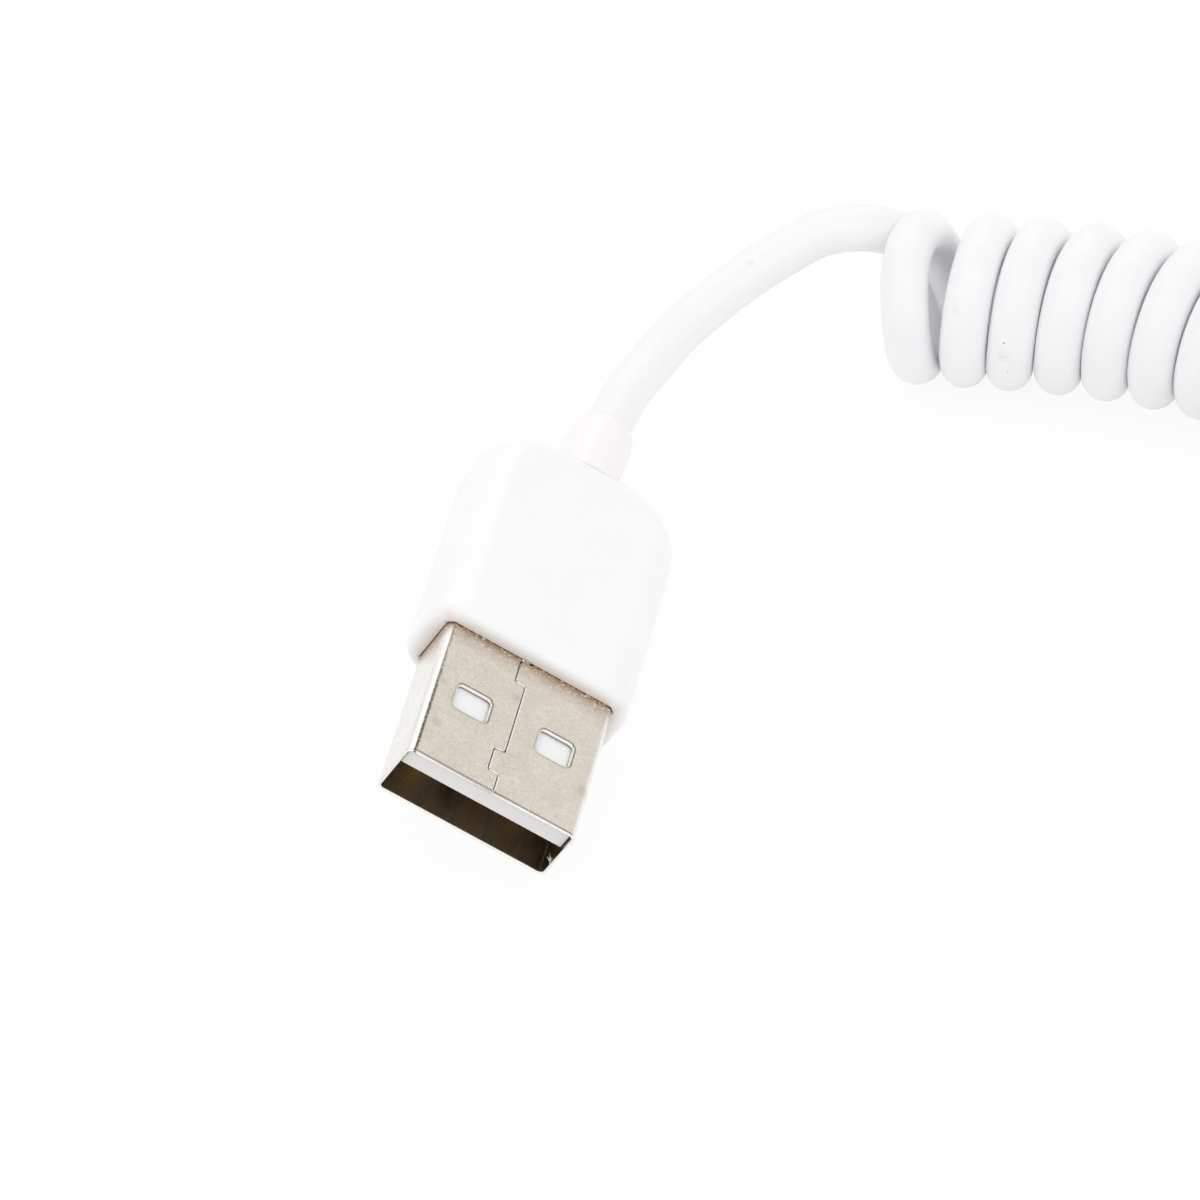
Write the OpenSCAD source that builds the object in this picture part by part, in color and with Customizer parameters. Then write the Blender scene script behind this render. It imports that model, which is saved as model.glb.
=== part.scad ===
// Coiled charging cable: a folded-shell plug on a white moulded boot, a plain lead that rises
// into a close-wound curly cord, a short tail and a small oval plug at the far end.
// Millimetres, +Z up, the table at z = 0. The origin lies under the middle of the large plug,
// whose mouth faces -Y. Both plugs are drawn in their own frame: x across, y from the tip
// back to the cord, z up through the wide faces.

/* [Large plug shell] */
// Width of the folded shell
a_shell_w = 12; // [11.8:0.1:12.2]
// Height of the folded shell
a_shell_h = 4.5; // [4.3:0.1:4.7]
// Thickness of the sheet
a_sheet = 0.3; // [0.25:0.01:0.35]
// Outer radius of the four long folds
a_fold_r = 0.5; // [0.45:0.05:0.7]
// Length of shell that stands out of the boot
a_shell_out = 11.4; // [11:0.1:12]
// Length of shell held inside the boot
a_shell_in = 5; // [4.5:0.1:6]
// Width of the open line between the seam's edges
seam_gap = 0.06; // [0.04:0.01:0.1]
// Distance from the tip to the front seam tab
seam_front = 1.6; // [1.2:0.1:2]
// Distance between the starts of the two seam tabs
seam_step = 7.8; // [7:0.1:8]
// Length of each seam tab
seam_tab_l = 1.95; // [1.5:0.05:2.2]
// Reach of each seam tab across the seam
seam_tab_w = 0.75; // [0.5:0.05:0.9]
// Width of each latch window
window_w = 2.35; // [2.1:0.05:2.6]
// Length of each latch window
window_l = 1.95; // [1.7:0.05:2.2]
// Distance from the middle of the shell to a window's middle
window_x = 2.97; // [2.8:0.01:3.1]
// Distance from the tip to a window's middle
window_y = 5.93; // [5.6:0.01:6.2]
// Radius of a window's corners
window_r = 0.25; // [0.1:0.05:0.4]
// Height of the bevel round the mouth
mouth_bevel = 0.12; // [0.05:0.01:0.15]
// Width of the tail strip that runs to the crimp
tail_strip_w = 3.4; // [3:0.1:4]
// Length of the crimp ring on the cord
crimp_l = 2.2; // [1.8:0.1:2.6]
// Opening between the crimp's two ends
crimp_gap = 0.7; // [0.4:0.1:1]

/* [Large plug inside] */
// Distance from the tip to the tongue's front
tongue_recess = 0.38; // [0.3:0.01:0.5]
// Thickness of the tongue
tongue_t = 1.85; // [1.75:0.01:1.95]
// Size of the slant on the tongue's lower front edge
tongue_slant = 0.4; // [0.3:0.05:0.6]
// Depth of the mouth behind the tip
mouth_depth = 9.2; // [8.9:0.1:9.6]
// Length of the block behind the mouth
block_l = 4; // [3.6:0.1:4.4]
// Width of a contact
contact_w = 1; // [0.9:0.05:1.1]
// Thickness of a contact
contact_t = 0.25; // [0.2:0.01:0.3]
// Height by which a contact stands out of the tongue
contact_proud = 0.05; // [0.02:0.01:0.08]
// Distance from the middle to the inner contacts
contact_inner = 1; // [0.95:0.01:1.05]
// Distance from the middle to the outer contacts
contact_outer = 3.5; // [3.4:0.01:3.6]
// Distance from the tip to the power contacts
power_start = 1.8; // [1.6:0.1:2]
// Distance from the tip to the data contacts
data_start = 2.8; // [2.6:0.1:3]
// Length of the leg at a contact's front
contact_hook = 0.7; // [0.5:0.05:0.9]
// Length of the soldering tail behind the block
solder_tail = 2; // [1.8:0.1:2.3]
// Diameter of an insulated wire
wire_d = 0.7; // [0.6:0.02:0.74]
// Diameter of a wire's bare core
core_d = 0.34; // [0.25:0.01:0.4]
// Radius of a drop of solder
solder_r = 0.42; // [0.35:0.01:0.48]
// Width of the inner mould behind the shell
inner_w = 11; // [10.4:0.1:11.4]
// Height of the inner mould behind the shell
inner_h = 4.6; // [4.5:0.1:4.8]
// Length of the inner mould behind the shell
inner_l = 8; // [7.6:0.1:8.6]

/* [Large boot] */
// Width of the boot
a_boot_w = 14.5; // [14:0.1:15.5]
// Height of the boot
a_boot_h = 6.8; // [6.6:0.1:8]
// Length of the boot without its collar
a_boot_l = 18.1; // [17.5:0.1:19]
// Radius of the boot's long edges
a_boot_r = 2.5; // [2:0.1:3]
// Radius of the boot's rear corners, seen from above
a_shoulder_r = 3.8; // [3:0.1:4.5]
// Rounding of the boot's rear, seen from the side
a_rear_drop = 1.3; // [0.8:0.1:1.6]
// Rounding of the boot's front rim
boot_lip = 0.45; // [0.3:0.05:0.6]
// Length of the collar round the cord
a_collar_l = 7.5; // [6.5:0.1:8.5]
// Diameter of the collar at the boot
a_collar_d1 = 5; // [4.6:0.1:5.4]
// Diameter of the collar at its end
a_collar_d2 = 4.1; // [3.9:0.1:4.4]
// Lean of the collar to the right
collar_lean = 7; // [0:1:9]

/* [Pose] */
// Turn of the large plug about its own length, right side down
plug_roll = 34.2; // [30:0.1:38]

/* [Cord] */
// Diameter of the cord
cord_d = 3.1; // [2.9:0.05:3.3]
// Diameter of the curly cord over its turns
coil_d = 11.7; // [11.2:0.1:12.4]
// Length of the curly cord before its bend
coil_straight = 9; // [6:1:14]
// Radius of the curly cord's first, wide bend
coil_wide_r = 55; // [50:1:65]
// Angle of the wide bend
coil_wide = 17; // [15:1:19]
// Radius of the second, tighter bend
coil_tight_r = 40; // [38:1:43]
// Angle of the tighter bend
coil_tight = 83; // [78:1:85]
// Length of the curly cord behind its bends
coil_last = 7; // [5:1:9]

/* [Small plug shell] */
// Width of the oval shell
c_shell_w = 8.25; // [8.15:0.05:8.35]
// Height of the oval shell
c_shell_h = 2.4; // [2.35:0.05:2.5]
// Wall of the oval shell
c_wall = 0.2; // [0.18:0.01:0.22]
// Length of shell that stands out of the boot
c_shell_out = 6.65; // [6.5:0.05:6.8]
// Length of shell held inside the boot
c_shell_in = 4.4; // [4.2:0.1:4.8]
// Rounding of the shell's mouth
c_lip = 0.12; // [0.08:0.01:0.15]

/* [Small plug inside] */
// Distance from the tip to the housing's front
c_recess = 0.25; // [0.2:0.05:0.4]
// Length of the housing
c_housing_l = 9; // [8.6:0.1:9.4]
// Width of the slot for the socket's tongue
c_slot_w = 6.7; // [6.6:0.05:6.8]
// Height of the slot for the socket's tongue
c_slot_h = 1.1; // [1:0.05:1.2]
// Depth of the slot for the socket's tongue
c_slot_depth = 6.2; // [6:0.1:6.4]
// Spacing of the contacts
pin_pitch = 0.5; // [0.48:0.01:0.52]
// Width of a contact
pin_w = 0.25; // [0.2:0.01:0.3]
// Thickness of a contact
pin_t = 0.12; // [0.1:0.01:0.14]
// Height of a contact's bump into the slot
pin_bump = 0.2; // [0.15:0.01:0.24]
// Thickness of the side latch springs
latch_t = 0.2; // [0.15:0.01:0.22]
// Height of the side latch springs
latch_h = 0.8; // [0.6:0.1:0.9]
// Thickness of the ground springs
ground_t = 0.1; // [0.08:0.01:0.12]
// Thickness of the circuit board
board_t = 0.8; // [0.6:0.1:1]
// Width of the circuit board
board_w = 7.4; // [7:0.1:7.8]
// Length of the circuit board
board_l = 6; // [5.6:0.1:6.4]
// Thickness of the shield's sheet
shield_t = 0.2; // [0.15:0.01:0.25]
// Outer width of the shield
shield_w = 9.6; // [9.4:0.1:9.8]
// Outer height of the shield
shield_h = 4.2; // [4:0.1:4.4]
// Length of the shield
shield_l = 10.2; // [10:0.1:10.6]

/* [Small boot] */
// Width of the boot
c_boot_w = 11.8; // [11.4:0.1:12.3]
// Height of the boot
c_boot_h = 6.2; // [6:0.1:6.5]
// Length of the boot without its collar
c_boot_l = 19; // [18.5:0.1:21]
// Radius of the boot's long edges
c_boot_r = 2.6; // [2:0.1:2.9]
// Radius of the boot's rear corners, seen from above
c_shoulder_r = 3; // [2.4:0.1:3.4]
// Rounding of the boot's rear, seen from the side
c_rear_drop = 1.1; // [0.8:0.1:1.3]
// Length of the collar round the cord
c_collar_l = 6; // [5:0.1:7]
// Diameter of the collar at the boot
c_collar_d1 = 4.8; // [4.5:0.1:5.2]
// Diameter of the collar at its end
c_collar_d2 = 4.1; // [3.9:0.1:4.4]

/* [Hidden] */

// Smoothness of true round surfaces, and of a boot's rounded corners
$fn = 64;
corner_steps = 8;
// Straight length left between a boot's rounded corners
flat_side = 0.25;
// How far a cutting solid runs past the face it cuts
over = 1;
// Running clearance round a piece that is slid in, and round the cord in its bore
slide_gap = 0.02;
bore_gap = 0.04;

// Large plug, worked out
a_shell_l = a_shell_out + a_shell_in;
a_plug_l = a_shell_out + a_boot_l + a_collar_l;
a_boot_end = a_shell_out + a_boot_l;
inside_w = a_shell_w - 2 * a_sheet;
inside_h = a_shell_h - 2 * a_sheet;
inside_r = a_fold_r - a_sheet;
tongue_z = inside_h / 2 - tongue_t;
contact_z = tongue_z - contact_proud;
block_end = mouth_depth + block_l;
tail_end = block_end + solder_tail;
jacket_start = a_shell_l + 4.1;
crimp_start = jacket_start + 0.4;
// Tail strip: where its slope starts and ends, and how far the upper face's bends sit forward
strip_rise = a_shell_l + 1.6;
strip_top = jacket_start - 0.6;
strip_skew = 0.1;
cord_r = cord_d / 2;
crimp_r = cord_r + a_sheet;
inner_end = a_shell_l + inner_l;
// Height of the plug's axis when the boot's lower long edge lies on the table
axis_z = (a_boot_w / 2 - a_boot_r) * sin(plug_roll) + (a_boot_h / 2 - a_boot_r) * cos(plug_roll) + a_boot_r;

// Wires: how far they run straight off the solder, and how they lie in the stripped cord
core_r = core_d / 2;
wire_r = wire_d / 2;
quad = 0.4;
wire_bend = 0.4;
solder_under = 0.05;
solder_from = 0.4;
solder_short = 0.2;
core_sink = 0.1;

// Curly cord: its axis starts at the lead's end, runs along +X and then bends towards -Y
coil_r = coil_d / 2;
coil_start = [17, 32.6, coil_r];
coil_turned = coil_wide + coil_tight;
wide_middle = coil_start + [coil_straight, -coil_wide_r, 0];
tight_middle = wide_middle + (coil_wide_r - coil_tight_r) * [sin(coil_wide), cos(coil_wide), 0];
bend_end = tight_middle + coil_tight_r * [sin(coil_turned), cos(coil_turned), 0];
// How many lengths each bend is built from, and the fine joint between two of them
wide_parts = 1;
tight_parts = 5;
joint_gap = 0.02;
coil_end = bend_end + (coil_last + joint_gap) * [cos(coil_turned), -sin(coil_turned), 0];

// Small plug, worked out
c_plug_l = c_shell_out + c_boot_l + c_collar_l;
c_axis_z = c_boot_h / 2;
// The small plug lies inside the bend and points back along +Y: its collar's end, seen from the coil's end
plug_left = 13;
plug_down = 12;
c_collar_end = [coil_end[0] - plug_left, coil_end[1] - plug_down];
c_tip = [c_collar_end[0], c_collar_end[1] + c_plug_l, c_axis_z];
c_shell_l = c_shell_out + c_shell_in;
c_inside_w = c_shell_w - 2 * c_wall;
c_inside_h = c_shell_h - 2 * c_wall;
c_housing_w = c_inside_w - 2 * slide_gap;
c_housing_h = c_inside_h - 2 * slide_gap;
c_housing_end = c_recess + c_housing_l;
round_left = 0.01;
c_shell_r = c_shell_h / 2 - round_left;
c_inside_r = c_inside_h / 2 - round_left;
c_housing_r = c_housing_h / 2 - round_left;
c_boot_end = c_shell_out + c_boot_l;
board_start = c_housing_end + 0.1;
board_end = board_start + board_l;
shield_start = c_shell_out + 2;
shield_end = shield_start + shield_l;
c_jacket_start = shield_end - 0.8;
pin_tail_end = board_start + 1.6;
pin_tip = 1.1;
pin_count = 12;
pin_lift = 0.02;
pin_nose = 0.1;
pin_step = 0.6;
pin_slot_h = c_slot_h / 2 + pin_lift + pin_nose + pin_t + slide_gap;
upper_pins = [1, 4, 5, 6, 7, 9, 12];
lower_pins = [1, 4, 5, 9, 12];
latch_front = 1.6;
latch_room = 0.1;
latch_bump = 0.25;
latch_step = 0.5;
ground_front = 1.2;
ground_w = 5.6;
ground_l = 2.6;
ground_hole = 1.4;
ground_hole_x = 1.7;
resistor = [0.5, 1, 0.35];
resistor_y = 2.6;
pad_x = [-1.6, 1.6];
pad_l = 1.5;
pad_start = board_end - pad_l - 0.3;

// Point of the lead's middle line at a distance past the boot's end, inside the leaning collar
function collar_point(s) =
    [s * sin(collar_lean), a_boot_end - a_plug_l / 2 + s * cos(collar_lean), axis_z];
// Route of the lead from the stripped end in the large boot to the curly cord
lead_route = [
    [0, jacket_start - a_plug_l / 2, axis_z],
    [0, a_boot_end - a_plug_l / 2 - 4, axis_z],
    collar_point(0),
    collar_point(a_collar_l / 2),
    collar_point(a_collar_l),
    [1.5, 21.3, 6.1],
    [2.6, 24, 6.4],
    [4, 26.3, 7],
    [5.6, 28.3, 7.6],
    [8, 30.8, 8.5],
    [10.4, 32.7, 9.2],
    [12.8, 34, 9.6],
    [15, 34.6, 9.6],
    [17, 34.7, 9.5]
];
// Route of the tail: off the curly cord's outer side, down to the table, round half a turn and into the boot
tail_side = 4.2;
tail_out = coil_end + tail_side * [sin(coil_turned), cos(coil_turned), 0];
tail_low = 1.65;
tail_rise = 1.15;
tail_lead = 1.5;
tail_sag = 7;
tail_half = (tail_out[0] - c_collar_end[0]) / 2;
tail_turn = [c_collar_end[0] + tail_half, c_collar_end[1] - tail_lead];
function tail_height(a) = tail_low + tail_rise * pow(max(0, a - 60) / 120, 2);
tail_route = [
    [tail_out[0], tail_out[1], coil_r],
    [tail_out[0], tail_out[1] - 2, 4.6],
    [tail_out[0], tail_out[1] - 4.4, 2.9],
    [tail_out[0], tail_out[1] - 7.5, 1.9],
    for (a = [0:30:180])
        [tail_turn[0] + tail_half * cos(a), tail_turn[1] - tail_sag * sin(a), tail_height(a)],
    [c_collar_end[0], c_collar_end[1], c_axis_z],
    [c_collar_end[0], c_collar_end[1] + c_collar_l, c_axis_z],
    [c_tip[0], c_tip[1] - c_jacket_start, c_axis_z]
];
// Bore through the boot and its leaning collar
boot_bore = [[0, inner_end - over - a_plug_l / 2, axis_z], collar_point(0), collar_point(a_collar_l + over)];
// Sides of a cord or wire, and of the bore it lies in
tube_sides = 8;
bore_sides = 24;

// Frames of the two plugs
module at_large_plug() {
    translate([0, -a_plug_l / 2, axis_z]) rotate([0, plug_roll, 0]) children();
}

module at_small_plug() {
    translate(c_tip) rotate([0, 0, 180]) children();
}

// Flat outlines
module round_rect(w, h, r) {
    square([w - 2 * r, h], center = true);
    square([w, h - 2 * r], center = true);
    for (sx = [-1, 1], sz = [-1, 1])
        translate([sx * (w / 2 - r), sz * (h / 2 - r)]) circle(r);
}

// A flat outline in x and z, drawn back along y from one station to another
module along(y0, y1) {
    translate([0, y1, 0]) rotate([90, 0, 0]) linear_extrude(y1 - y0) children();
}

// A flat outline in y and z, as wide as w, centred on x
module across(x, w) {
    translate([x - w / 2, 0, 0]) rotate([90, 0, 90]) linear_extrude(w) children();
}

// A round rod along y
module rod(x, z, r, y0, y1) {
    translate([x, y0, z]) rotate([-90, 0, 0]) cylinder(r = r, h = y1 - y0);
}

// A tube swept along a route, its rings square to the route
function unit(v) = v / norm(v);
function heading(route, i) =
    unit(route[min(i + 1, len(route) - 1)] - route[max(i - 1, 0)]);
function ring(p, t, r, sides) =
    let (s = unit(cross(t, [0, 0, 1])), u = cross(s, t))
    [for (k = [0:sides - 1]) let (a = 360 * (k + 0.5) / sides) p + r * (cos(a) * s + sin(a) * u)];
function tube_heading(route, i, first, last) =
    i == 0 ? first : i == len(route) - 1 ? last : heading(route, i);

// A closed skin over a row of rings that all hold the same count of points
module skin(rings) {
    m = len(rings[0]);
    sides = [for (i = [0:len(rings) - 2], k = [0:m - 1])
        let (a = i * m + k, b = i * m + (k + 1) % m)
        each [[a, b, b + m], [a, b + m, a + m]]];
    first_cap = [for (k = [m - 1:-1:0]) k];
    last_cap = [for (k = [0:m - 1]) (len(rings) - 1) * m + k];
    polyhedron([for (r = rings) each r], concat([first_cap], sides, [last_cap]));
}

module tube(route, r, first, last, sides = tube_sides) {
    skin([for (i = [0:len(route) - 1]) ring(route[i], tube_heading(route, i, first, last), r, sides)]);
}

// Folded shell of the large plug
module seam_path(y0, y1, x) {
    along(y0, y1) translate([x - seam_gap / 2, a_shell_h / 2 - 2 * a_sheet]) square([seam_gap, 3 * a_sheet]);
}

module seam_jog(y) {
    translate([-seam_tab_w - seam_gap / 2, y - seam_gap / 2, a_shell_h / 2 - 2 * a_sheet])
        cube([seam_tab_w + seam_gap, seam_gap, 3 * a_sheet]);
}

module seam_cut() {
    tab_starts = [seam_front, seam_front + seam_step];
    seam_path(-over, seam_front, 0);
    seam_path(seam_front + seam_tab_l, seam_front + seam_step, 0);
    seam_path(seam_front + seam_step + seam_tab_l, a_shell_l + over, 0);
    for (y = tab_starts) {
        seam_path(y, y + seam_tab_l, -seam_tab_w);
        seam_jog(y);
        seam_jog(y + seam_tab_l);
    }
}

module window_cut() {
    for (sx = [-1, 1])
        translate([sx * window_x, window_y, -a_shell_h])
            linear_extrude(2 * a_shell_h) round_rect(window_w, window_l, window_r);
}

// Slant cut round the outside of the mouth
module mouth_bevel_cut() {
    for (sz = [-1, 1])
        across(0, a_shell_w + over)
            polygon([[-over, sz * (a_shell_h / 2 - mouth_bevel - over)], [mouth_bevel, sz * a_shell_h / 2],
                     [mouth_bevel, sz * (a_shell_h / 2 + over)], [-over, sz * (a_shell_h / 2 + over)]]);
    for (sx = [-1, 1])
        translate([0, 0, -a_shell_h]) linear_extrude(2 * a_shell_h)
            polygon([[sx * (a_shell_w / 2 - mouth_bevel - over), -over], [sx * a_shell_w / 2, mouth_bevel],
                     [sx * (a_shell_w / 2 + over), mouth_bevel], [sx * (a_shell_w / 2 + over), -over]]);
}

module shell_tail() {
    floor_z = -a_shell_h / 2;
    rise = (a_shell_h / 2 - a_sheet) - cord_r;
    across(0, tail_strip_w)
        polygon([[a_shell_l - a_sheet, floor_z], [strip_rise, floor_z],
                 [strip_top, floor_z + rise], [crimp_start + crimp_l, floor_z + rise],
                 [crimp_start + crimp_l, floor_z + rise + a_sheet],
                 [strip_top - strip_skew, floor_z + rise + a_sheet],
                 [strip_rise - strip_skew, floor_z + a_sheet], [a_shell_l - a_sheet, floor_z + a_sheet]]);
}

module crimp_ring() {
    along(crimp_start, crimp_start + crimp_l) difference() {
        circle(crimp_r);
        circle(cord_r);
        translate([-crimp_gap / 2, 0]) square([crimp_gap, 2 * crimp_r]);
    }
}

module large_shell() {
    difference() {
        along(0, a_shell_l) round_rect(a_shell_w, a_shell_h, a_fold_r);
        along(-over, a_shell_l + over) round_rect(inside_w, inside_h, inside_r);
        seam_cut();
        window_cut();
        mouth_bevel_cut();
    }
    difference() {
        union() {
            shell_tail();
            crimp_ring();
        }
        rod(0, 0, cord_r, jacket_start - 2 * over, crimp_start + crimp_l + over);
    }
}

module usb_a_shell() {
    color("gainsboro") at_large_plug() large_shell();
}

// Tongue and block of the large plug
module contact_slots() {
    for (x = [-contact_outer, -contact_inner, contact_inner, contact_outer]) {
        start = abs(x) > contact_inner ? power_start : data_start;
        translate([x - contact_w / 2 - slide_gap, start - slide_gap, contact_z - over])
            cube([contact_w + 2 * slide_gap, block_end, over + contact_t]);
        translate([x - contact_w / 2 - slide_gap, start - slide_gap, contact_z - over])
            cube([contact_w + 2 * slide_gap, contact_t + 2 * slide_gap, over + contact_hook + slide_gap]);
    }
}

module large_insulator() {
    width = inside_w - 2 * slide_gap;
    top = inside_h / 2 - slide_gap;
    difference() {
        intersection() {
            across(0, width)
                polygon([[tongue_recess, top], [tongue_recess, tongue_z + tongue_slant],
                         [tongue_recess + tongue_slant, tongue_z], [mouth_depth, tongue_z],
                         [mouth_depth, -top], [block_end, -top], [block_end, top]]);
            along(0, block_end + over) round_rect(width, 2 * top, inside_r);
        }
        difference() {
            contact_slots();
            translate([-inside_w, mouth_depth, contact_z - 2 * over])
                cube([2 * inside_w, block_l + over, 2 * over]);
        }
    }
}

module usb_a_insulator() {
    color("white") at_large_plug() large_insulator();
}

// A stamped contact: a leg at the front, the blade, and a tail for the wire
module contact(x, start) {
    across(x, contact_w)
        polygon([[start, contact_z], [tail_end, contact_z], [tail_end, contact_z + contact_t],
                 [start + contact_t, contact_z + contact_t], [start + contact_t, contact_z + contact_hook],
                 [start, contact_z + contact_hook]]);
}

module power_contact() {
    color("gold") at_large_plug() contact(-contact_outer, power_start);
}

module data_minus_contact() {
    color("gold") at_large_plug() contact(-contact_inner, data_start);
}

module data_plus_contact() {
    color("gold") at_large_plug() contact(contact_inner, data_start);
}

module ground_contact() {
    color("gold") at_large_plug() contact(contact_outer, power_start);
}

// A drop of solder over a wire's bare core, on a flat tail or pad that faces up or down
module solder_drop(x, z, y0, y1, up) {
    difference() {
        rod(x, z, solder_r, y0, y1);
        translate([x - over, y0 - over, z - (up ? over : 0)]) cube([2 * over, y1 - y0 + 2 * over, over]);
        rod(x, z + (up ? 1 : -1) * (core_r + solder_under), core_r, y0 - over, y1 + over);
    }
}

module usb_a_solder() {
    color("silver") at_large_plug()
        for (x = [-contact_outer, -contact_inner, contact_inner, contact_outer])
            solder_drop(x, contact_z + contact_t, block_end + solder_from, tail_end - solder_short, true);
}

// A wire: bare core on its pad, then insulation to its place in the stripped cord
module wire(x, z, core_from, core_to, gather, end_y, grow) {
    side = z < 0 ? -1 : 1;
    run_z = z + side * wire_r;
    route = [
        [x, core_to, run_z],
        [x, core_to + wire_bend, run_z],
        [gather[0], end_y - wire_bend, gather[1]],
        [gather[0], end_y, gather[1]]
    ];
    rod(x, z + side * (core_r + solder_under), core_r, core_from, core_to + core_sink);
    tube(route, wire_r + grow, [0, 1, 0], [0, 1, 0]);
}

module large_wire(x, gather, grow = 0) {
    wire(x, contact_z + contact_t, block_end + solder_from - core_sink, tail_end, gather, jacket_start, grow);
}

module usb_a_red_wire() {
    color("red") at_large_plug() large_wire(-contact_outer, [-quad, quad]);
}

module usb_a_white_wire() {
    color("white") at_large_plug() large_wire(-contact_inner, [-quad, -quad]);
}

module usb_a_green_wire() {
    color("green") at_large_plug() large_wire(contact_inner, [quad, -quad]);
}

module usb_a_black_wire() {
    color("black") at_large_plug() large_wire(contact_outer, [quad, quad]);
}

// Inner mould: fills the shell behind the block and carries the wires to the crimp
module inner_mould_outline() {
    along(a_shell_l, inner_end) round_rect(inner_w, inner_h, a_fold_r);
}

module usb_a_inner_mould() {
    color("ivory") at_large_plug() difference() {
        union() {
            along(block_end, a_shell_l) round_rect(inside_w, inside_h, inside_r);
            inner_mould_outline();
        }
        for (x = [-contact_outer, -contact_inner, contact_inner, contact_outer]) {
            contact(x, data_start);
            rod(x, contact_z + contact_t, solder_r, block_end, tail_end);
        }
        large_wire(-contact_outer, [-quad, quad], slide_gap);
        large_wire(-contact_inner, [-quad, -quad], slide_gap);
        large_wire(contact_inner, [quad, -quad], slide_gap);
        large_wire(contact_outer, [quad, quad], slide_gap);
        shell_tail();
        rod(0, 0, crimp_r, crimp_start, crimp_start + crimp_l);
        rod(0, 0, cord_r + bore_gap, jacket_start, inner_end + over);
    }
}

// Boot of either plug: one smooth loft from a rounded front rim to shoulders that close in
function boot_ring(y, w, h, r) =
    let (corner_r = min(r, h / 2 - flat_side))
    [for (q = [0:3], k = [0:corner_steps])
        let (a = 90 * q + 90 * k / corner_steps,
             x = q == 0 || q == 3 ? w / 2 - corner_r : corner_r - w / 2,
             z = q < 2 ? h / 2 - corner_r : corner_r - h / 2)
        [x + corner_r * cos(a), y, z + corner_r * sin(a)]];

module boot_form(y0, y1, w, h, r, shoulder, drop) {
    front = [for (a = [0:30:90])
        let (inset = 2 * boot_lip * (1 - sin(a)))
        boot_ring(y0 + boot_lip * (1 - cos(a)), w - inset, h - inset, r)];
    rear = [for (a = [0:10:90])
        let (inset = 1 - cos(a))
        boot_ring(y1 - shoulder * (1 - sin(a)), w - 2 * shoulder * inset, h - 2 * drop * inset, r)];
    skin(concat(front, rear));
}

// Collar: a tapered sleeve round the cord with a rounded end
module collar(l, d1, d2) {
    round_end = 0.4;
    sink = 1.5;
    rotate([-90, 0, 0]) rotate_extrude()
        polygon(concat([[0, -sink], [d1 / 2, -sink], [d1 / 2, 0]],
                       [for (a = [0:15:90])
                           [d2 / 2 - round_end * (1 - cos(a)), l - round_end * (1 - sin(a))]],
                       [[0, l]]));
}

// The collar's own frame: level, and leaning to the right of the plug's line
module at_collar() {
    translate([0, a_boot_end, 0]) rotate([0, -plug_roll, 0]) rotate([0, 0, -collar_lean]) children();
}

module usb_a_boot() {
    color("white") difference() {
        at_large_plug() union() {
            boot_form(a_shell_out, a_boot_end, a_boot_w, a_boot_h, a_boot_r, a_shoulder_r, a_rear_drop);
            at_collar() collar(a_collar_l, a_collar_d1, a_collar_d2);
        }
        at_large_plug() {
            along(a_shell_out - over, a_shell_l) round_rect(a_shell_w, a_shell_h, a_fold_r);
            inner_mould_outline();
        }
        tube(boot_bore, cord_r + bore_gap, [0, 1, 0], [sin(collar_lean), cos(collar_lean), 0], bore_sides);
    }
}

module lead_cord() {
    color("white") tube(lead_route, cord_r, [0, 1, 0], [1, 0, 0]);
}

// A bend of the curly cord about its middle, in equal lengths with a fine joint after each
module coil_bend(middle, r, turned, turn, parts) {
    step = turn / parts;
    slit = joint_gap / r * 180 / PI;
    for (k = [1:parts])
        translate(middle) rotate([0, 0, 90 - turned - k * step]) rotate_extrude(angle = step - slit)
            translate([r, 0]) circle(coil_r);
}

module coil_cord() {
    color("white") {
        translate(coil_start) rotate([0, 90, 0]) cylinder(r = coil_r, h = coil_straight);
        coil_bend(wide_middle, coil_wide_r, 0, coil_wide, wide_parts);
        coil_bend(tight_middle, coil_tight_r, coil_wide, coil_tight, tight_parts);
        translate(bend_end) rotate([0, 90, -coil_turned]) translate([0, 0, joint_gap])
            cylinder(r = coil_r, h = coil_last);
    }
}

module tail_cord() {
    color("white") tube(tail_route, cord_r, [cos(coil_turned), -sin(coil_turned), 0], [0, 1, 0]);
}

// Small plug
module usb_c_shell() {
    color("gainsboro") at_small_plug() difference() {
        along(0, c_shell_l) round_rect(c_shell_w, c_shell_h, c_shell_r);
        along(-over, c_shell_l + over) round_rect(c_inside_w, c_inside_h, c_inside_r);
    }
}

function pin_x(i) = (i - (pin_count + 1) / 2) * pin_pitch;

// A spring contact of the small plug: tail on the board, straight beam, bump at the front
module pin(x, side) {
    z0 = board_t / 2;
    z1 = c_slot_h / 2 + pin_lift;
    across(x, pin_w)
        polygon([for (p = [[pin_tip, z1 + pin_nose], [pin_tip + pin_step, z1 - pin_bump],
                           [pin_tip + 2 * pin_step, z1], [c_slot_depth + pin_step, z1],
                           [c_housing_end - pin_step, z0], [pin_tail_end, z0],
                           [pin_tail_end, z0 + pin_t], [c_housing_end - pin_step, z0 + pin_t],
                           [c_slot_depth + pin_step, z1 + pin_t], [pin_tip + 2 * pin_step, z1 + pin_t],
                           [pin_tip + pin_step, z1 + pin_t - pin_bump], [pin_tip, z1 + pin_nose + pin_t]])
                 [p[0], side * p[1]]]);
}

module latch_spring(side) {
    x = side * (c_slot_w / 2);
    translate([0, 0, -latch_h / 2]) linear_extrude(latch_h)
        polygon([[x, latch_front], [x - side * latch_bump, latch_front + latch_step],
                 [x, latch_front + 2 * latch_step], [x, c_housing_end],
                 [x + side * latch_t, c_housing_end], [x + side * latch_t, latch_front]]);
}

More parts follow.
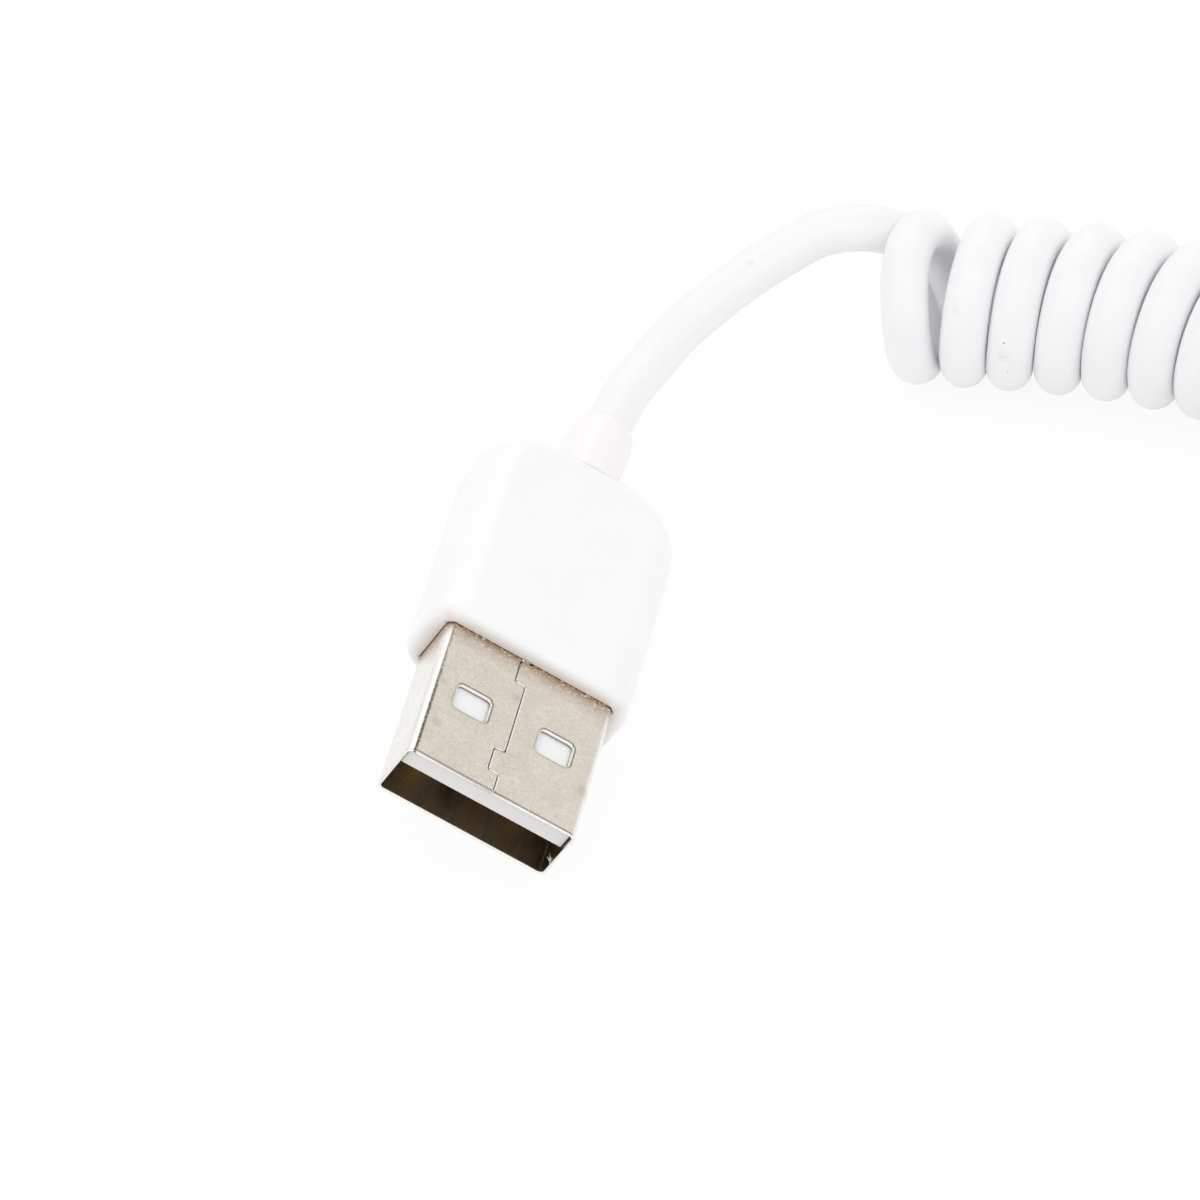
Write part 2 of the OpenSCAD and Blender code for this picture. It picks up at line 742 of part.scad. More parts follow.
module ground_spring(side) {
    z = side * (c_housing_h / 2);
    difference() {
        translate([-ground_w / 2, ground_front, side > 0 ? z - ground_t : z])
            cube([ground_w, ground_l, ground_t]);
        for (x = [-ground_hole_x, ground_hole_x])
            translate([x - ground_hole / 2, ground_front + (ground_l - ground_hole) / 2, z - over])
                cube([ground_hole, ground_hole, 2 * over]);
    }
}

module usb_c_housing() {
    color("dimgray") at_small_plug() difference() {
        along(c_recess, c_housing_end) round_rect(c_housing_w, c_housing_h, c_housing_r);
        translate([-c_slot_w / 2, -over, -c_slot_h / 2]) cube([c_slot_w, over + c_slot_depth, c_slot_h]);
        for (i = upper_pins)
            translate([pin_x(i) - pin_w / 2 - slide_gap, pin_tip - pin_nose, 0])
                cube([pin_w + 2 * slide_gap, c_housing_end, pin_slot_h]);
        for (i = lower_pins)
            translate([pin_x(i) - pin_w / 2 - slide_gap, pin_tip - pin_nose, -pin_slot_h])
                cube([pin_w + 2 * slide_gap, c_housing_end, pin_slot_h]);
        for (side = [-1, 1]) {
            translate([side * (c_slot_w / 2 + latch_t / 2) - latch_t / 2 - slide_gap,
                       latch_front - latch_room, -latch_h / 2 - slide_gap])
                cube([latch_t + 2 * slide_gap, c_housing_end, latch_h + 2 * slide_gap]);
            ground_spring(side);
        }
    }
}

module usb_c_upper_contacts() {
    color("gold") at_small_plug() for (i = upper_pins) pin(pin_x(i), 1);
}

module usb_c_lower_contacts() {
    color("gold") at_small_plug() for (i = lower_pins) pin(pin_x(i), -1);
}

module usb_c_latch_springs() {
    color("silver") at_small_plug() for (side = [-1, 1]) latch_spring(side);
}

module usb_c_ground_springs() {
    color("silver") at_small_plug() for (side = [-1, 1]) ground_spring(side);
}

module usb_c_circuit_board() {
    color("darkgreen") at_small_plug()
        translate([-board_w / 2, board_start, -board_t / 2]) cube([board_w, board_l, board_t]);
}

module usb_c_resistor() {
    color("black") at_small_plug()
        translate([-resistor[0] / 2, board_start + resistor_y, board_t / 2]) cube(resistor);
}

module usb_c_solder() {
    color("silver") at_small_plug() for (x = pad_x, up = [true, false])
        solder_drop(x, (up ? 1 : -1) * board_t / 2, pad_start, pad_start + pad_l, up);
}

module small_wire(x, side, gather) {
    wire(x, side * board_t / 2, pad_start - core_sink, board_end, gather, c_jacket_start, 0);
}

module usb_c_red_wire() {
    color("red") at_small_plug() small_wire(pad_x[0], 1, [-quad, quad]);
}

module usb_c_white_wire() {
    color("white") at_small_plug() small_wire(pad_x[0], -1, [-quad, -quad]);
}

module usb_c_green_wire() {
    color("green") at_small_plug() small_wire(pad_x[1], -1, [quad, -quad]);
}

module usb_c_black_wire() {
    color("black") at_small_plug() small_wire(pad_x[1], 1, [quad, quad]);
}

// Two pressed halves that close over the board and grip shell and cord
module shield(side) {
    difference() {
        along(shield_start, shield_end) round_rect(shield_w, shield_h, a_fold_r);
        along(shield_start + shield_t, shield_end - shield_t)
            round_rect(shield_w - 2 * shield_t, shield_h - 2 * shield_t, a_fold_r - shield_t);
        along(shield_start - over, shield_start + over) round_rect(c_shell_w, c_shell_h, c_shell_r);
        rod(0, 0, cord_r + bore_gap, shield_end - over, shield_end + over);
        translate([-shield_w, shield_start - over, side > 0 ? -shield_h : 0])
            cube([2 * shield_w, shield_l + 2 * over, shield_h]);
    }
}

module usb_c_shield_upper() {
    color("silver") at_small_plug() shield(1);
}

module usb_c_shield_lower() {
    color("silver") at_small_plug() shield(-1);
}

module usb_c_boot() {
    color("white") at_small_plug() difference() {
        union() {
            boot_form(c_shell_out, c_boot_end, c_boot_w, c_boot_h, c_boot_r, c_shoulder_r, c_rear_drop);
            translate([0, c_boot_end, 0]) collar(c_collar_l, c_collar_d1, c_collar_d2);
        }
        along(c_shell_out - over, shield_start) round_rect(c_shell_w, c_shell_h, c_shell_r);
        along(shield_start, shield_end) round_rect(shield_w, shield_h, a_fold_r);
        rod(0, 0, cord_r + bore_gap, shield_end - over, c_plug_l + over);
    }
}

usb_a_shell();
usb_a_insulator();
power_contact();
data_minus_contact();
data_plus_contact();
ground_contact();
usb_a_solder();
usb_a_red_wire();
usb_a_white_wire();
usb_a_green_wire();
usb_a_black_wire();
usb_a_inner_mould();
usb_a_boot();
lead_cord();
coil_cord();
tail_cord();
usb_c_shell();
usb_c_housing();
usb_c_upper_contacts();
usb_c_lower_contacts();
usb_c_latch_springs();
usb_c_ground_springs();
usb_c_circuit_board();
usb_c_resistor();
usb_c_solder();
usb_c_red_wire();
usb_c_white_wire();
usb_c_green_wire();
usb_c_black_wire();
usb_c_shield_upper();
usb_c_shield_lower();
usb_c_boot();
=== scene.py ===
import math
import bmesh
import bpy
from mathutils import Matrix, Vector


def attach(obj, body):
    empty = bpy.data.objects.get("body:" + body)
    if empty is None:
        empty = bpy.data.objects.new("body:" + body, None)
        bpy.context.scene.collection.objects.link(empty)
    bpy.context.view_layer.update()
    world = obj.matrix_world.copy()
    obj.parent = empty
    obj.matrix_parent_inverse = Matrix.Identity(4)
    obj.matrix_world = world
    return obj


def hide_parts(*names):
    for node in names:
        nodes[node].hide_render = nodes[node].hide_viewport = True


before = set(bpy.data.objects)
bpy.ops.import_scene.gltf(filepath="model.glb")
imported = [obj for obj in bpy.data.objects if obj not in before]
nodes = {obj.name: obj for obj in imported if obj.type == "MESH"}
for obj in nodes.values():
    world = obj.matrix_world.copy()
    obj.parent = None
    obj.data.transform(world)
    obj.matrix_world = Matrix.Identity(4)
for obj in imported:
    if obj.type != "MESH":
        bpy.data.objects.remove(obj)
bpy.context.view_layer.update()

mm = 0.001

# Sizes shared with the solids, in millimetres
largePlug = {
    "shellOut": 11.4, "shellIn": 5.0, "width": 12.0, "height": 4.5, "fold": 0.5, "sheet": 0.3,
    "boot": 18.1, "bootWidth": 14.5, "bootHeight": 6.8, "bootRound": 2.5, "lean": 7.0, "roll": 34.2,
    "collar": 7.5, "seenCollar": 5.9,  # the seen collar is shorter than the solid's, as in the photo
}
smallPlug = {
    "shellOut": 6.65, "width": 8.25, "height": 2.4, "boot": 19.0, "bootWidth": 11.8, "bootHeight": 6.2,
    "bootRound": 2.6, "collar": 6.0, "left": 13.0, "down": 12.0,
}
largePlug["length"] = largePlug["shellOut"] + largePlug["boot"] + largePlug["collar"]
largePlug["axis"] = (
    (largePlug["bootWidth"] / 2 - largePlug["bootRound"]) * math.sin(math.radians(largePlug["roll"]))
    + (largePlug["bootHeight"] / 2 - largePlug["bootRound"]) * math.cos(math.radians(largePlug["roll"]))
    + largePlug["bootRound"]
)
largeFrame = (
    Matrix.Translation(Vector((0, -largePlug["length"] / 2, largePlug["axis"])) * mm)
    @ Matrix.Rotation(math.radians(largePlug["roll"]), 4, "Y")
)

# Cuts in the flat blank of the large plug's shell, shared by its mesh and its painted shade and highlight lines
shell = {
    "seamGap": 0.05, "tabFront": 1.6, "tabStep": 7.8, "tabLength": 1.95, "tabReach": 0.75, "tabRound": 0.24,
    "windowWidth": 2.35, "windowLength": 1.95, "windowX": 2.97, "windowY": 5.93, "windowRound": 0.36,
    "edge": 0.11, "mouthThin": 0.4, "mouthRun": 0.5,
}

# The curly cord's axis: straight, a wide bend, a tighter bend, straight again
coil = {
    "start": Vector((17.0, 32.6, 5.85)), "straight": 9.0, "wide": 55.0, "wideTurn": 17.0,
    "tight": 40.0, "tightTurn": 83.0, "last": 7.02,
}


# Centre and heading of the coil's axis, place being its x had it run straight on
def axisPoint(place):
    x, y, z = coil["start"]
    bends = [(coil["wide"], coil["wideTurn"]), (coil["tight"], coil["tightTurn"])]
    centre, turned = Vector((x + coil["straight"], y, z)), 0.0
    if place <= centre.x:
        return Vector((place, y, z)), Vector((1, 0, 0))
    left = place - centre.x
    for radius, turn in bends:
        here = min(math.radians(turn), left / radius)
        middle = centre - radius * Vector((math.sin(turned), math.cos(turned), 0))
        turned += here
        left -= here * radius
        centre = middle + radius * Vector((math.sin(turned), math.cos(turned), 0))
        if left < 1e-9:
            break
    ahead = Vector((math.cos(turned), -math.sin(turned), 0))
    return centre + ahead * max(left, 0.0), ahead


coil["length"] = (
    coil["straight"] + coil["wide"] * math.radians(coil["wideTurn"]) + coil["tight"] * math.radians(coil["tightTurn"])
    + coil["last"]
)
coil["end"], coil["endHeading"] = axisPoint(coil["start"].x + coil["length"])
smallPlug["length"] = smallPlug["shellOut"] + smallPlug["boot"] + smallPlug["collar"]
smallPlug["collarEnd"] = Vector((
    coil["end"].x - smallPlug["left"], coil["end"].y - smallPlug["down"], smallPlug["bootHeight"] / 2,
))
smallFrame = (
    Matrix.Translation((smallPlug["collarEnd"] + Vector((0, smallPlug["length"], 0))) * mm)
    @ Matrix.Rotation(math.pi, 4, "Z")
)

# Camera
camera = {
    "place": (83.6, -267.18, 266.1), "lens": 180.0, "sensor": 36.0,
    "right": (0.97480, 0.20500, -0.08794), "up": (-0.07783, 0.68202, 0.72718), "back": (0.20905, -0.70202, 0.68079),
}


def makeCamera():
    data = bpy.data.cameras.new("camera")
    data.lens = camera["lens"]
    data.sensor_width = camera["sensor"]
    data.sensor_fit = "HORIZONTAL"
    data.clip_start = 0.01
    data.clip_end = 20
    seat = bpy.data.objects.new("camera", data)
    bpy.context.scene.collection.objects.link(seat)
    turn = Matrix((camera["right"], camera["up"], camera["back"])).transposed().to_4x4()
    seat.matrix_world = Matrix.Translation(Vector(camera["place"]) * mm) @ turn
    bpy.context.scene.camera = seat


makeCamera()
print("camera set")


# Small helpers
def hermite(start, startPull, end, endPull, t):
    return (
        start * (2 * t**3 - 3 * t**2 + 1) + startPull * (t**3 - 2 * t**2 + t)
        + end * (3 * t**2 - 2 * t**3) + endPull * (t**3 - t**2)
    )


# Points of a smooth line through the given ones, about a step apart
def smoothThrough(points, step):
    line = []
    last = len(points) - 1
    for i in range(last):
        a, b, c, d = points[max(i - 1, 0)], points[i], points[i + 1], points[min(i + 2, last)]
        near, span, far = (((q - p).length + 1e-9) ** 0.5 for p, q in ((a, b), (b, c), (c, d)))
        startPull = ((b - a) / near - (c - a) / (near + span) + (c - b) / span) * span if i else (c - b)
        endPull = ((c - b) / span - (d - b) / (span + far) + (d - c) / far) * span if i < last - 1 else (c - b)
        steps = max(1, round((c - b).length / step))
        for k in range(steps):
            line.append(hermite(b, startPull, c, endPull, k / steps))
    line.append(points[-1])
    return line


# A smooth value at x through (x, value) pairs, level past the last pair
def valueThrough(knots, x):
    if x >= knots[-1][0]:
        return knots[-1][1]
    i = max(k for k in range(len(knots)) if knots[k][0] <= x)

    def slope(k):
        low, high = knots[max(k - 1, 0)], knots[min(k + 1, len(knots) - 1)]
        return (high[1] - low[1]) / (high[0] - low[0])

    (x0, y0), (x1, y1) = knots[i], knots[i + 1]
    span = x1 - x0
    return hermite(y0, slope(i) * span, y1, slope(i + 1) * span, (x - x0) / span)


def addMesh(name, mesh, material, smooth=True):
    piece = bpy.data.objects.new(name, mesh)
    bpy.context.scene.collection.objects.link(piece)
    mesh.materials.append(material)
    if smooth:
        mesh.shade_smooth()
    else:
        mesh.shade_flat()
    return piece


# Materials, with positions in millimetres
def feed(tree, socket, value):
    if isinstance(value, bpy.types.NodeSocket):
        tree.links.new(value, socket)
    else:
        socket.default_value = value


def addNode(tree, kind, inputs=None, **settings):
    made = tree.nodes.new(kind)
    for key, value in settings.items():
        setattr(made, key, value)
    for key, value in (inputs or {}).items():
        feed(tree, made.inputs[key], value)
    return made


def newSurface(name, colour, roughness, **settings):
    material = bpy.data.materials.new(name)
    material.use_nodes = True
    tree = material.node_tree
    shader = next(n for n in tree.nodes if n.type == "BSDF_PRINCIPLED")
    shader.inputs["Base Color"].default_value = (*colour, 1)
    shader.inputs["Roughness"].default_value = roughness
    for key, value in settings.items():
        shader.inputs[key.replace("_", " ")].default_value = value
    place = addNode(tree, "ShaderNodeTexCoord").outputs["Object"]
    place = addNode(tree, "ShaderNodeVectorMath", {0: place, "Scale": 1 / mm}, operation="SCALE").outputs[0]
    return material, tree, shader, place


def noise(tree, place, scale, detail=2.0, roughness=0.5, stretch=None):
    if stretch:
        place = addNode(tree, "ShaderNodeVectorMath", {0: place, 1: stretch}, operation="MULTIPLY").outputs[0]
    inputs = {"Vector": place, "Scale": scale, "Detail": detail, "Roughness": roughness}
    return addNode(tree, "ShaderNodeTexNoise", inputs).outputs["Fac"]


def between(tree, value, low, high, start=0.0, end=1.0):
    made = addNode(
        tree, "ShaderNodeMapRange",
        {"Value": value, "From Min": low, "From Max": high, "To Min": start, "To Max": end}, clamp=True,
    )
    return made.outputs["Result"]


def mixed(tree, share, first, second):
    return addNode(tree, "ShaderNodeMix", {0: share, 6: first, 7: second}, data_type="RGBA").outputs[2]


def maths(tree, operation, first, second=0.0):
    return addNode(tree, "ShaderNodeMath", {0: first, 1: second}, operation=operation).outputs[0]


def product(tree, *factors):
    made = factors[0]
    for factor in factors[1:]:
        made = maths(tree, "MULTIPLY", made, factor)
    return made


# 1 between the two middle edges, 0 beyond the outer two
def strip(tree, value, edges):
    first, full, last, end = edges
    return product(tree, between(tree, value, first, full), between(tree, value, end, last))


def axisOf(tree, place, axis):
    return addNode(tree, "ShaderNodeSeparateXYZ", {0: place}).outputs[axis]


def dimmed(colour, *shares):
    return (*[c * share for c, share in zip(colour, shares)], 1)


# Stacks bumps, each a height, a strength and a depth in millimetres, on the shader's normal
def bumped(tree, shader, heights):
    normal = None
    for height, strength, depth in heights:
        inputs = {"Height": height, "Strength": strength, "Distance": depth * mm}
        if normal:
            inputs["Normal"] = normal
        normal = addNode(tree, "ShaderNodeBump", inputs).outputs["Normal"]
    tree.links.new(normal, shader.inputs["Normal"])


# Mask of small ragged specks, each a centre and a radius in millimetres
def spots(tree, place, marks):
    ragged = noise(tree, place, 6.0, 2.0)
    mask = None
    for centre, radius in marks:
        away = addNode(tree, "ShaderNodeVectorMath", {0: place, 1: centre}, operation="DISTANCE").outputs["Value"]
        away = maths(tree, "ADD", away, maths(tree, "MULTIPLY", ragged, radius * 1.6))
        spot = between(tree, away, radius * 1.85, radius * 1.45)
        mask = maths(tree, "MAXIMUM", mask, spot) if mask else spot
    return mask


# The texture place in the large plug's own frame
def plugPlace(tree, place):
    centre = tuple(c / mm for c in largeFrame.translation)
    inputs = {"Vector": place, "Center": centre, "Angle": -math.radians(largePlug["roll"])}
    turned = addNode(tree, "ShaderNodeVectorRotate", inputs, rotation_type="Y_AXIS").outputs[0]
    return addNode(tree, "ShaderNodeVectorMath", {0: turned, 1: centre}, operation="SUBTRACT").outputs[0]


# Strips of painted shade, reflection and highlight in millimetres: distances off a window and along the plug,
# heights, places across it
paintedEdgeStrips = {
    "rim": (0.08, 0.11, 0.17, 0.22), "mouth": (0.10, 0.13, 0.20, 0.25), "lowerWall": (1.86, 1.90, 2.04, 2.08),
    "upperWall": (2.04, 2.08, 2.16, 2.20), "bent": (-5.96, -5.88, -5.66, -5.60), "fold": -5.52,
}


# Thin painted dark reflection line round the windows, stronger towards their rear right
def windowRim(tree, x, y):
    across = maths(tree, "SUBTRACT", x, product(tree, maths(tree, "SIGN", x), shell["windowX"]))
    along = maths(tree, "SUBTRACT", y, shell["windowY"])
    halfWidth, halfLength = shell["windowWidth"] / 2, shell["windowLength"] / 2
    squares = []
    for away, half in ((across, halfWidth), (along, halfLength)):
        away = maths(tree, "SUBTRACT", maths(tree, "ABSOLUTE", away), half - shell["windowRound"])
        away = maths(tree, "MAXIMUM", away, 0.0)
        squares.append(product(tree, away, away))
    outside = maths(tree, "SUBTRACT", maths(tree, "SQRT", maths(tree, "ADD", *squares)), shell["windowRound"])
    slant = maths(tree, "ADD", maths(tree, "DIVIDE", across, halfWidth), maths(tree, "DIVIDE", along, halfLength))
    return product(tree, strip(tree, outside, paintedEdgeStrips["rim"]), between(tree, slant, -0.1, 0.3, 0.35, 0.8))


# Ragged painted dark reflection line along the left fold, fainter towards the boot
def foldLine(tree, x, y, z, mottle, grain):
    ragged = product(tree, maths(tree, "SUBTRACT", mottle, 0.5), 0.2)
    away = maths(tree, "ABSOLUTE", maths(tree, "ADD", maths(tree, "SUBTRACT", x, paintedEdgeStrips["fold"]), ragged))
    return product(
        tree, between(tree, away, 0.13, 0.05), between(tree, z, 1.95, 2.1),
        between(tree, grain, 0.40, 0.50, 0.45, 1.0), between(tree, y, 9.5, 5.0, 0.3, 1.0),
    )


# Painted dark reflection and shade lines of the shell, and painted highlights on the bright parts of its cut walls
# and left fold
def paintedEdgeShading(tree, place, mottle, grain):
    local = plugPlace(tree, place)
    x, y, z = (axisOf(tree, local, k) for k in range(3))
    top = between(tree, z, 2.19, 2.23)
    rim = product(tree, windowRim(tree, x, y), top)
    mouth = product(tree, strip(tree, y, paintedEdgeStrips["mouth"]), top, 0.7)
    inner = between(tree, maths(tree, "ABSOLUTE", x), 5.4, 5.3)
    lower = product(tree, strip(tree, z, paintedEdgeStrips["lowerWall"]), inner)
    upper = product(tree, strip(tree, z, paintedEdgeStrips["upperWall"]), inner)
    bent = product(
        tree, strip(tree, x, paintedEdgeStrips["bent"]), between(tree, z, 1.8, 1.95), between(tree, y, 11.0, 10.0),
    )
    dark = foldLine(tree, x, y, z, mottle, grain)
    for line in (rim, mouth, lower):
        dark = maths(tree, "MAXIMUM", dark, line)
    return dark, maths(tree, "MAXIMUM", upper, bent)


# Satin nickel plate: cloudy tone, fine grain, bright dust specks painted as glints, and a painted brown shade band at
# the root
def nickelSurface(name, colour, rootFrom, rootTo, marks=None):
    material, tree, shader, place = newSurface(name, colour, 0.24, Metallic=1.0)
    clouds = noise(tree, place, 0.5, 5.0, 0.6)
    mottle = noise(tree, place, 2.6, 4.0, 0.65)
    grain = noise(tree, place, 6.0, 3.0, 0.7)
    dustGlint = noise(tree, place, 6.5, 1.0, 0.4)
    tone = mixed(tree, between(tree, clouds, 0.35, 0.66), (*colour, 1), dimmed(colour, 0.93, 0.925, 0.90))
    tone = mixed(tree, between(tree, mottle, 0.42, 0.64, 0.0, 0.9), tone, dimmed(colour, 0.90, 0.875, 0.83))
    tone = mixed(tree, between(tree, grain, 0.45, 0.68, 0.0, 0.6), tone, dimmed(colour, 0.79, 0.76, 0.71))
    # Painted shade: browner and darker towards the root, where the shell enters the boot, ragged by the mottle
    root = maths(tree, "POWER", between(tree, axisOf(tree, place, 1), rootFrom, rootTo), 1.6)
    root = product(tree, root, between(tree, mottle, 0.25, 0.6, 0.7, 1.0))
    tone = mixed(tree, root, tone, dimmed(colour, 0.45, 0.29, 0.15))
    if marks:
        tone = mixed(tree, product(tree, spots(tree, place, marks["smudges"]), 0.24), tone, (0.42, 0.38, 0.33, 1))
        # Painted highlights on the cut walls and fold, then painted dark reflection and shade lines along the edges
        lines, walls = paintedEdgeShading(tree, place, mottle, grain)
        tone = mixed(tree, walls, tone, (1.0, 0.99, 0.975, 1))
        tone = mixed(tree, product(tree, lines, 0.85), tone, (0.12, 0.08, 0.055, 1))
        tone = mixed(tree, spots(tree, place, marks["nicks"]), tone, (0.03, 0.02, 0.015, 1))
    # Painted glints: bright dust specks scattered over the plate, more of them towards the root
    bright = between(tree, maths(tree, "ADD", dustGlint, product(tree, root, 0.10)), 0.69, 0.72)
    tone = mixed(tree, bright, tone, (1.0, 0.99, 0.97, 1))
    tree.links.new(tone, shader.inputs["Base Color"])
    cloudy, grainy = between(tree, clouds, 0.3, 0.7, 0.19, 0.26), between(tree, grain, 0.3, 0.7, -0.03, 0.05)
    tree.links.new(maths(tree, "ADD", cloudy, grainy), shader.inputs["Roughness"])
    bumped(tree, shader, [(mottle, 0.12, 0.02), (grain, 0.20, 0.008)])
    return material


# Inner face of the folded sheet, painted dark brown for the shade inside the mouth, with drawn streaks and a little
# dust
def insideSurface(name):
    material, tree, shader, place = newSurface(name, (0.24, 0.18, 0.115), 0.40, Metallic=1.0)
    streaks = noise(tree, place, 3.0, 3.0, 0.6, (1.0, 0.12, 1.0))
    dust = noise(tree, place, 12.0, 1.0, 0.4)
    tone = mixed(tree, between(tree, streaks, 0.35, 0.7), (0.215, 0.165, 0.108, 1), (0.27, 0.20, 0.125, 1))
    tone = mixed(tree, between(tree, dust, 0.705, 0.73), tone, (0.62, 0.57, 0.50, 1))
    tree.links.new(tone, shader.inputs["Base Color"])
    tree.links.new(between(tree, streaks, 0.3, 0.7, 0.32, 0.45), shader.inputs["Roughness"])
    bumped(tree, shader, [(streaks, 0.2, 0.01)])
    return material


# Moulded plastic: faint cloudiness, flow lines and a fine moulded skin
def plasticSurface(name, colour, roughness, warmth=0.0, coat=0.0, depth=0.006, grainScale=6.0):
    material, tree, shader, place = newSurface(name, colour, roughness, Coat_Weight=coat, IOR=1.5)
    clouds = noise(tree, place, 0.25, 4.0, 0.55)
    skin = noise(tree, place, grainScale, 3.0, 0.6)
    flow = noise(tree, place, 1.2, 2.0, 0.5, (1.0, 0.25, 1.0))
    dim = dimmed(colour, 0.985 - warmth * 0.2, 0.98 - warmth * 0.5, 0.98 - warmth)
    tone = mixed(tree, between(tree, clouds, 0.35, 0.65), (*colour, 1), dim)
    tree.links.new(tone, shader.inputs["Base Color"])
    rough = between(tree, clouds, 0.3, 0.7, roughness - 0.01, roughness + 0.015)
    tree.links.new(rough, shader.inputs["Roughness"])
    bumped(tree, shader, [(flow, 0.06, depth * 2), (skin, 0.08, depth)])
    return material, tree, shader, place, tone


# Stamped or soldered metal: drawn lines along one direction and small stains
def metalSurface(name, colour, roughness, direction):
    material, tree, shader, place = newSurface(name, colour, roughness, Metallic=1.0)
    lines = noise(tree, place, 9.0, 3.0, 0.6, direction)
    stains = noise(tree, place, 1.6, 3.0, 0.6)
    tone = mixed(tree, between(tree, stains, 0.4, 0.75), (*colour, 1), dimmed(colour, 0.8, 0.8, 0.8))
    tree.links.new(tone, shader.inputs["Base Color"])
    rough = between(tree, lines, 0.3, 0.7, roughness - 0.05, roughness + 0.07)
    tree.links.new(rough, shader.inputs["Roughness"])
    bumped(tree, shader, [(lines, 0.2, 0.006)])
    return material


# White moulded tongue, its front face painted greyer as the shade under the shell's mouth
def tongueSurface():
    material, tree, shader, place, tone = plasticSurface("tongue_plastic", (0.95, 0.95, 0.955), 0.33, depth=0.003)
    # Painted shade: the tongue's front face greyer and warmer
    front = between(tree, axisOf(tree, place, 1), -16.0, -17.2)
    tone = mixed(tree, front, tone, (0.805, 0.790, 0.780, 1))
    tree.links.new(tone, shader.inputs["Base Color"])
    return material


# Marks of use, each a place and a radius in millimetres
shellMarks = {
    "smudges": [
        ((-2.68, -15.45, 10.46), 0.4), ((-3.05, -12.09, 10.69), 0.25), ((5.76, -14.67, 4.59), 0.5),
        ((1.0, -10.3, 8.0), 0.3),
    ],
    "nicks": [
        ((-1.85, -7.12, 9.89), 0.10), ((-1.6, -7.05, 9.7), 0.07), ((5.26, -7.27, 5.06), 0.07),
        ((5.0, -7.2, 5.2), 0.05),
    ],
}
cordMarks = {
    "specks": [((25.65, 27.01, 7.24), 0.07), ((25.5, 26.86, 6.14), 0.05), ((25.81, 26.86, 4.85), 0.06)],
    "smears": [
        ((25.6, 26.9, 6.2), 0.5), ((22.38, 27.96, 9.0), 0.35), ((15.2, 35.2, 10.6), 0.4), ((8.2, 30.2, 10.0), 0.3),
    ],
}


# White boot: soft gloss, a slightly rosier collar and a faint warm painted shade round the shell's mouth, standing in
# for the shell's shadow and reflection
def bootSurface(name, collarFrom, collarTo, shade=False):
    material, tree, shader, place, tone = plasticSurface(
        name, (0.982, 0.982, 0.982), 0.26, depth=0.0015, grainScale=4.5,
    )
    tone = mixed(tree, between(tree, axisOf(tree, place, 1), collarFrom, collarTo), tone, (0.990, 0.958, 0.962, 1))
    if shade:
        # Painted shade: the boot's front face darker and warmer close round the shell
        local = plugPlace(tree, place)
        wide = maths(tree, "SUBTRACT", maths(tree, "ABSOLUTE", axisOf(tree, local, 0)), largePlug["width"] / 2)
        high = maths(tree, "SUBTRACT", maths(tree, "ABSOLUTE", axisOf(tree, local, 2)), largePlug["height"] / 2)
        near = between(tree, maths(tree, "MAXIMUM", wide, high), 1.1, 0.0)
        near = product(tree, near, between(tree, axisOf(tree, local, 1), 12.4, 11.6))
        tone = mixed(tree, maths(tree, "POWER", near, 1.5), tone, (0.83, 0.76, 0.715, 1))
    tree.links.new(tone, shader.inputs["Base Color"])
    return material


# White jacket: soft sheen, drawn flow lines, a few dirt specks and handling marks
def cordSurface():
    material, tree, shader, place, tone = plasticSurface(
        "cord_jacket", (0.974, 0.970, 0.985), 0.33, depth=0.0015, grainScale=3.5,
    )
    tone = mixed(tree, product(tree, spots(tree, place, cordMarks["specks"]), 0.75), tone, (0.18, 0.16, 0.15, 1))
    tone = mixed(tree, product(tree, spots(tree, place, cordMarks["smears"]), 0.10), tone, (0.45, 0.42, 0.40, 1))
    tree.links.new(tone, shader.inputs["Base Color"])
    return material


surfaces = {
    "nickel": nickelSurface("shell_nickel", (0.985, 0.975, 0.955), -8.9, -7.1, shellMarks),
    "inside": insideSurface("shell_inside"),
    "smallNickel": nickelSurface("oval_shell_nickel", (0.93, 0.92, 0.90), -7.5, -8.8),
    "gold": metalSurface("contact_plate", (0.86, 0.64, 0.30), 0.25, (1.0, 0.1, 1.0)),
    "solder": metalSurface("solder_metal", (0.72, 0.72, 0.71), 0.22, (1.0, 1.0, 1.0)),
    "steel": metalSurface("spring_metal", (0.66, 0.65, 0.63), 0.30, (0.2, 1.0, 1.0)),
    "tongue": tongueSurface(),
    "dark": plasticSurface("dark_plastic", (0.030, 0.030, 0.033), 0.38, depth=0.006)[0],
    "mould": plasticSurface("inner_mould_plastic", (0.82, 0.78, 0.68), 0.45, warmth=0.06)[0],
    "red": plasticSurface("red_insulation", (0.60, 0.03, 0.02), 0.35)[0],
    "white": plasticSurface("white_insulation", (0.85, 0.85, 0.83), 0.35)[0],
    "green": plasticSurface("green_insulation", (0.03, 0.34, 0.08), 0.35)[0],
    "black": plasticSurface("black_insulation", (0.02, 0.02, 0.02), 0.35)[0],
    "board": plasticSurface("board_mask", (0.02, 0.16, 0.07), 0.25, coat=0.4, grainScale=9.0)[0],
    "boot": bootSurface("boot_plastic", 10.9, 12.1, shade=True),
    "smallBoot": bootSurface("small_boot_plastic", -27.9, -28.9),
    "cord": cordSurface(),
}
print("materials made")

